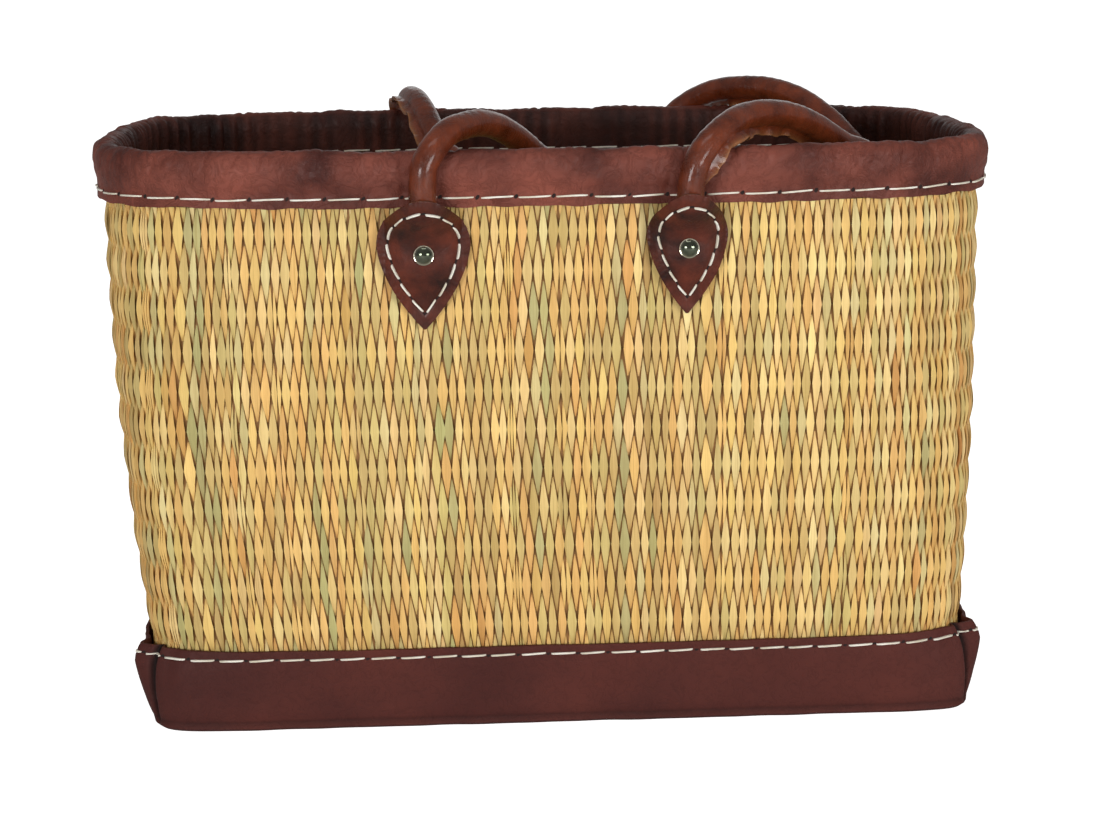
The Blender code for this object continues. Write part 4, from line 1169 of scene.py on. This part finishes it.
LEG_LINE = 0.1342
SLEEVE = 0.00675
FLAP = 0.0044
RING_STEP = 0.0016
TONGUE = ((0.0335, 0.0030, 0.0023, 0.0080), (0.0265, 0.0031, 0.0024, 0.0080), (0.0175, 0.0033, 0.0026, 0.0078),
          (0.0112, 0.0064, 0.0047, 0.0073), (0.0048, 0.0101, 0.0065, 0.0069))
HANDLES = (
    ("front", -1,
     ((0.0, 0.286), (0.0003, 0.2955), (0.0037, 0.3045), (0.013, 0.3125), (0.025, 0.3165), (0.038, 0.3172),
      (0.052, 0.3135), (0.066, 0.3065), (0.080, 0.2965)),
     (-0.0642, -0.0632, -0.0583, -0.0512, -0.0425, -0.0340, -0.0245, -0.0150, -0.0045),
     (0.0668, 0.0695, 0.0757, 0.0860, 0.0960, 0.1110, 0.1265, 0.1405, 0.1560),
     ((0.004, 0.090, 0.2845), (0.017, 0.100, 0.270), (0.040, 0.108, 0.2575), (0.070, 0.113, 0.249),
      (0.105, 0.114, 0.246), (0.140, 0.114, 0.248), (0.166, 0.112, 0.254), (0.180, 0.107, 0.264),
      (0.181, 0.099, 0.277), (0.170, 0.090, 0.289)),
     ((0.0, (0.0, 1.0, 0.0)), (0.10, (-0.2, 1.0, 0.0)), (0.22, (-0.6, 0.8, 0.0)), (0.42, (0.0, 0.5, 1.0)),
      (0.68, (-1.0, 0.2, 0.2)), (0.80, (-0.4, 0.0, -1.0)), (0.89, (0.5, 0.2, -1.0)), (0.94, (1.0, 0.0, -0.2)),
      (1.0, (1.0, 0.0, 0.0))),
     (0.0041, 0.3049), (0.0415, 0.3166)),
    ("back", 1,
     ((0.0, 0.286), (0.0003, 0.2950), (0.0037, 0.3037), (0.013, 0.3105), (0.025, 0.3133), (0.038, 0.3130),
      (0.052, 0.3085), (0.066, 0.3005), (0.080, 0.2905)),
     (-0.0710, -0.0710, -0.0707, -0.0695, -0.0677, -0.0650, -0.0615, -0.0575, -0.0525),
     (0.0815, 0.0875, 0.0980, 0.1110, 0.1255, 0.1410, 0.1550, 0.1665, 0.1760),
     ((-0.047, 0.091, 0.2815), (-0.033, 0.101, 0.272), (-0.008, 0.107, 0.264), (0.030, 0.110, 0.259),
      (0.070, 0.111, 0.257), (0.110, 0.1105, 0.258), (0.145, 0.108, 0.262), (0.170, 0.102, 0.269),
      (0.182, 0.091, 0.280)),
     ((0.0, (-1.0, 0.0, 0.0)), (0.22, (-1.0, 0.0, -0.2)), (0.42, (0.0, -0.5, 1.0)), (0.68, (-1.0, -0.2, 0.2)),
      (0.80, (-0.4, 0.0, -1.0)), (0.89, (0.5, -0.2, -1.0)), (0.94, (1.0, 0.0, -0.2)), (1.0, (1.0, 0.0, 0.0))),
     (0.0041, 0.3041), (0.0417, 0.3122)),
)


# How far each arch has sunk towards the rim, left and right.
SETTLE = {"front": (0.0045, 0.0015), "back": (0.0045, 0.0)}


def handle_rings(tab_left, tab_right, side, fall, lean_left, lean_right, loop, settle):
    """Rings along a whole handle: centre, half sizes across and through, and how much flap stands."""
    def arm(lean, sunk):
        return [(x, side * (LEG_LINE - w), z - sunk * min(w / 0.030, 1.0)) for x, (w, z) in zip(lean, fall)]

    far = [(x, side * (LEG_LINE - w), z) for x, w, z in loop]
    knots = arm(lean_left, settle[0]) + far + arm(lean_right, settle[1])[::-1]
    line = smooth_line(knots, 24)
    steps = travelled(line)
    spans = int(steps[-1] / RING_STEP / 8) * 8
    where = np.linspace(0.0, steps[-1], spans + 1)
    line = np.stack([np.interp(where, steps, line[:, k]) for k in range(3)], -1)

    def tongue(tab):
        _, _, middle, top, _, _ = tab
        rows = []
        for drop, off, half_thick, half_wide in TONGUE:
            level = top - drop
            depth = side * (float(wall_face(middle, level)) + off)
            rows.append((middle, depth, level, half_thick, half_wide))
        return np.array(rows)

    first, last = tongue(tab_left), tongue(tab_right)[::-1]
    body = np.column_stack([line, np.full(len(line), SLEEVE), np.full(len(line), SLEEVE)])
    first = smooth_line(np.vstack([first, body[:1]]), 6)[:-1]
    last = smooth_line(np.vstack([body[-1:], last]), 6)[1:]
    rings = np.vstack([first, body, last])
    share = np.concatenate([np.zeros(len(first)), where / where[-1], np.ones(len(last))])
    flap = np.clip((np.minimum(np.arange(len(rings)) - len(first), len(rings) - len(last) - np.arange(len(rings)))
                    ) / 6.0, 0.0, 1.0)
    return rings, share, flap


SLEEVE_SIDES = 28
lip = math.radians(13.0)
round_turns = np.linspace(lip, 2 * math.pi - lip, 21)
ROUND = np.stack([np.cos(round_turns), np.sin(round_turns)], -1)
# The flap's outline after the round part: up one ply, the slit between the plies, down the other.
FLAP_OUT = np.array([0.30, 0.75, 1.0, 0.80, 1.0, 0.75, 0.30])
FLAP_HALF = np.array([-0.00115, -0.00105, -0.00080, 0.0, 0.00080, 0.00105, 0.00115])


def sleeve_points(rings, share, flap, directions, seed):
    """Points of every ring of a handle's sleeve."""
    rng = np.random.default_rng(seed)
    tangent = unit(np.gradient(rings[:, :3], axis=0))
    stops = [s for s, _ in directions]
    aim = np.stack([np.interp(share, stops, [d[k] for _, d in directions]) for k in range(3)], -1)
    aim = unit(aim - tangent * (aim * tangent).sum(axis=1, keepdims=True))
    beside = np.cross(tangent, aim)
    # Half thickness lies along Y and half width along X in the flat ends.
    along_y = np.abs(aim[:, 1]) > np.abs(aim[:, 0])
    half_aim = np.where(along_y, rings[:, 3], rings[:, 4])
    half_beside = np.where(along_y, rings[:, 4], rings[:, 3])
    length = share * 0.53
    wrinkle = np.zeros((len(rings), len(ROUND)))
    for count in range(9):
        pace = rng.uniform(30, 210)
        slant = rng.integers(-2, 3)
        wrinkle += np.sin(2 * math.pi * pace * length[:, None] + slant * round_turns[None, :] + rng.uniform(0, 6.3))
    wrinkle = 1.0 + 0.012 * wrinkle / 3.0 * flap[:, None]
    out = np.empty((len(rings), SLEEVE_SIDES, 3))
    out[:, :21] = (rings[:, None, :3]
                   + aim[:, None] * (half_aim[:, None] * ROUND[None, :, 0] * wrinkle)[..., None]
                   + beside[:, None] * (half_beside[:, None] * ROUND[None, :, 1] * wrinkle)[..., None])
    tall = FLAP * (1.0 + 0.16 * np.sin(length * 2 * math.pi / 0.031 + seed) + 0.08 * np.sin(length * 410))
    wave = 0.0010 * np.sin(length * 2 * math.pi / 0.0165 + seed) + 0.0006 * np.sin(length * 2 * math.pi / 0.0093)
    reach = half_aim[:, None] * 0.965 + (tall * flap)[:, None] * FLAP_OUT[None, :]
    sway = FLAP_HALF[None, :] + (wave * flap)[:, None] * FLAP_OUT[None, :] ** 2
    out[:, 21:] = rings[:, None, :3] + aim[:, None] * reach[..., None] + beside[:, None] * sway[..., None]
    return out


def tube_piece(name, rows, sides, material, raw=None):
    """A closed tube through rows of points: a cylinder, cut into spans, then drawn into shape."""
    spans = len(rows) - 1
    side, ring, faces = blank_tube(sides, *((spans,) if spans <= 100 else (spans // 8, 8)))
    piece = copies(name, faces, rows[ring, side][None], material)
    if raw is not None:
        values = raw[side].astype(np.float32)
        layer = piece.data.attributes.new("raw", "FLOAT", "POINT")
        layer.data.foreach_set("value", values)
    return piece


RAW = np.zeros(SLEEVE_SIDES)
RAW[21:] = (0.0, 0.35, 1.0, 0.8, 1.0, 0.35, 0.0)
handle_leather = leather("handle_leather", shade(76, 29, 12), shade(122, 55, 29), 0.27, 0.40, 1500.0, 150.0, 85.0,
                         0.35, raw_edge=shade(150, 98, 60))
twine, tree, shader = new_material("handle_cord")
hairs = noise(tree, object_place(tree), 900.0, 3.0)
tree.links.new(ramp(tree, hairs, ((0.3, shade(176, 160, 124)), (0.7, shade(222, 210, 178)))),
               shader.inputs["Base Color"])
shader.inputs["Roughness"].default_value = 0.8

CORE_SIDES = 15
for where, side, fall, lean_left, lean_right, loop, directions, low_bend, high_bend in HANDLES:
    ends = {tab[0]: tab for tab in TABS}
    rings, share, flap = handle_rings(ends[where + "_left"], ends[where + "_right"], side, fall, lean_left,
                                      lean_right, loop, SETTLE[where])
    skin = sleeve_points(rings, share, flap, directions, 4 if side < 0 else 9)
    inward = LEG_LINE - side * rings[:, 1]
    past = np.nonzero(inward > 0.0265)[0]
    first_cut, last_cut = past[0], past[-1]
    # The cord inside: three plies laid up with a twist, from one tab's hood to the other's.
    turns = 2 * math.pi * np.arange(CORE_SIDES) / CORE_SIDES
    tangent = unit(np.gradient(rings[:, :3], axis=0))
    level = unit(np.cross(tangent, np.array([0.31, 0.0, 0.95])))
    upright = np.cross(level, tangent)
    lay = share * 0.53 / 0.021 * 2 * math.pi
    ply = 0.0037 * (1.0 + 0.13 * np.abs(np.sin(1.5 * (turns[None, :] + lay[:, None]))))
    core = (rings[:, None, :3] + level[:, None] * (ply * np.cos(turns))[..., None]
            + upright[:, None] * (ply * np.sin(turns))[..., None])
    whole = (share > 0.004) & (share < 0.996)
    begin, stop = np.nonzero(whole)[0][[0, -1]]

    dip = math.radians(54.0)
    lower = [(low_bend[0] + s * 0.0165 * math.cos(dip), low_bend[1] + s * 0.0165 * math.sin(dip)) for s in (-1, 1)]
    upper = [(0.0285, high_bend[1]), (0.0560, high_bend[1] - 0.0275 * math.tan(math.radians(8.0)))]

    arch, grip = where + "_handle_arch", where + "_handle_grip"
    spans = (last_cut - first_cut) // 8 * 8
    last_cut = first_cut + spans
    for label, a, b, bodies, bend, legs in (
        ("left", 0, first_cut, ("basket", arch), lower, ["leg_left", "arch_left"]),
        ("right", last_cut, len(rings) - 1, ("basket", arch), lower, ["leg_right", "arch_right"]),
        ("grip", first_cut, last_cut, (arch, grip), upper, ["loop"]),
    ):
        piece = tube_piece(f"handle_{where}_{label}_sleeve", skin[a:b + 1], SLEEVE_SIDES, handle_leather, RAW)
        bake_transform(piece)
        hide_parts(*(f"handle_{where}_{leg}" for leg in legs))
        a, b = max(a, begin), min(b, stop)
        inner = tube_piece(f"handle_{where}_{label}_cord", core[a:b + 1], CORE_SIDES, twine)
        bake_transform(inner)
        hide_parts(*(f"cord_{where}_{leg}" for leg in legs))
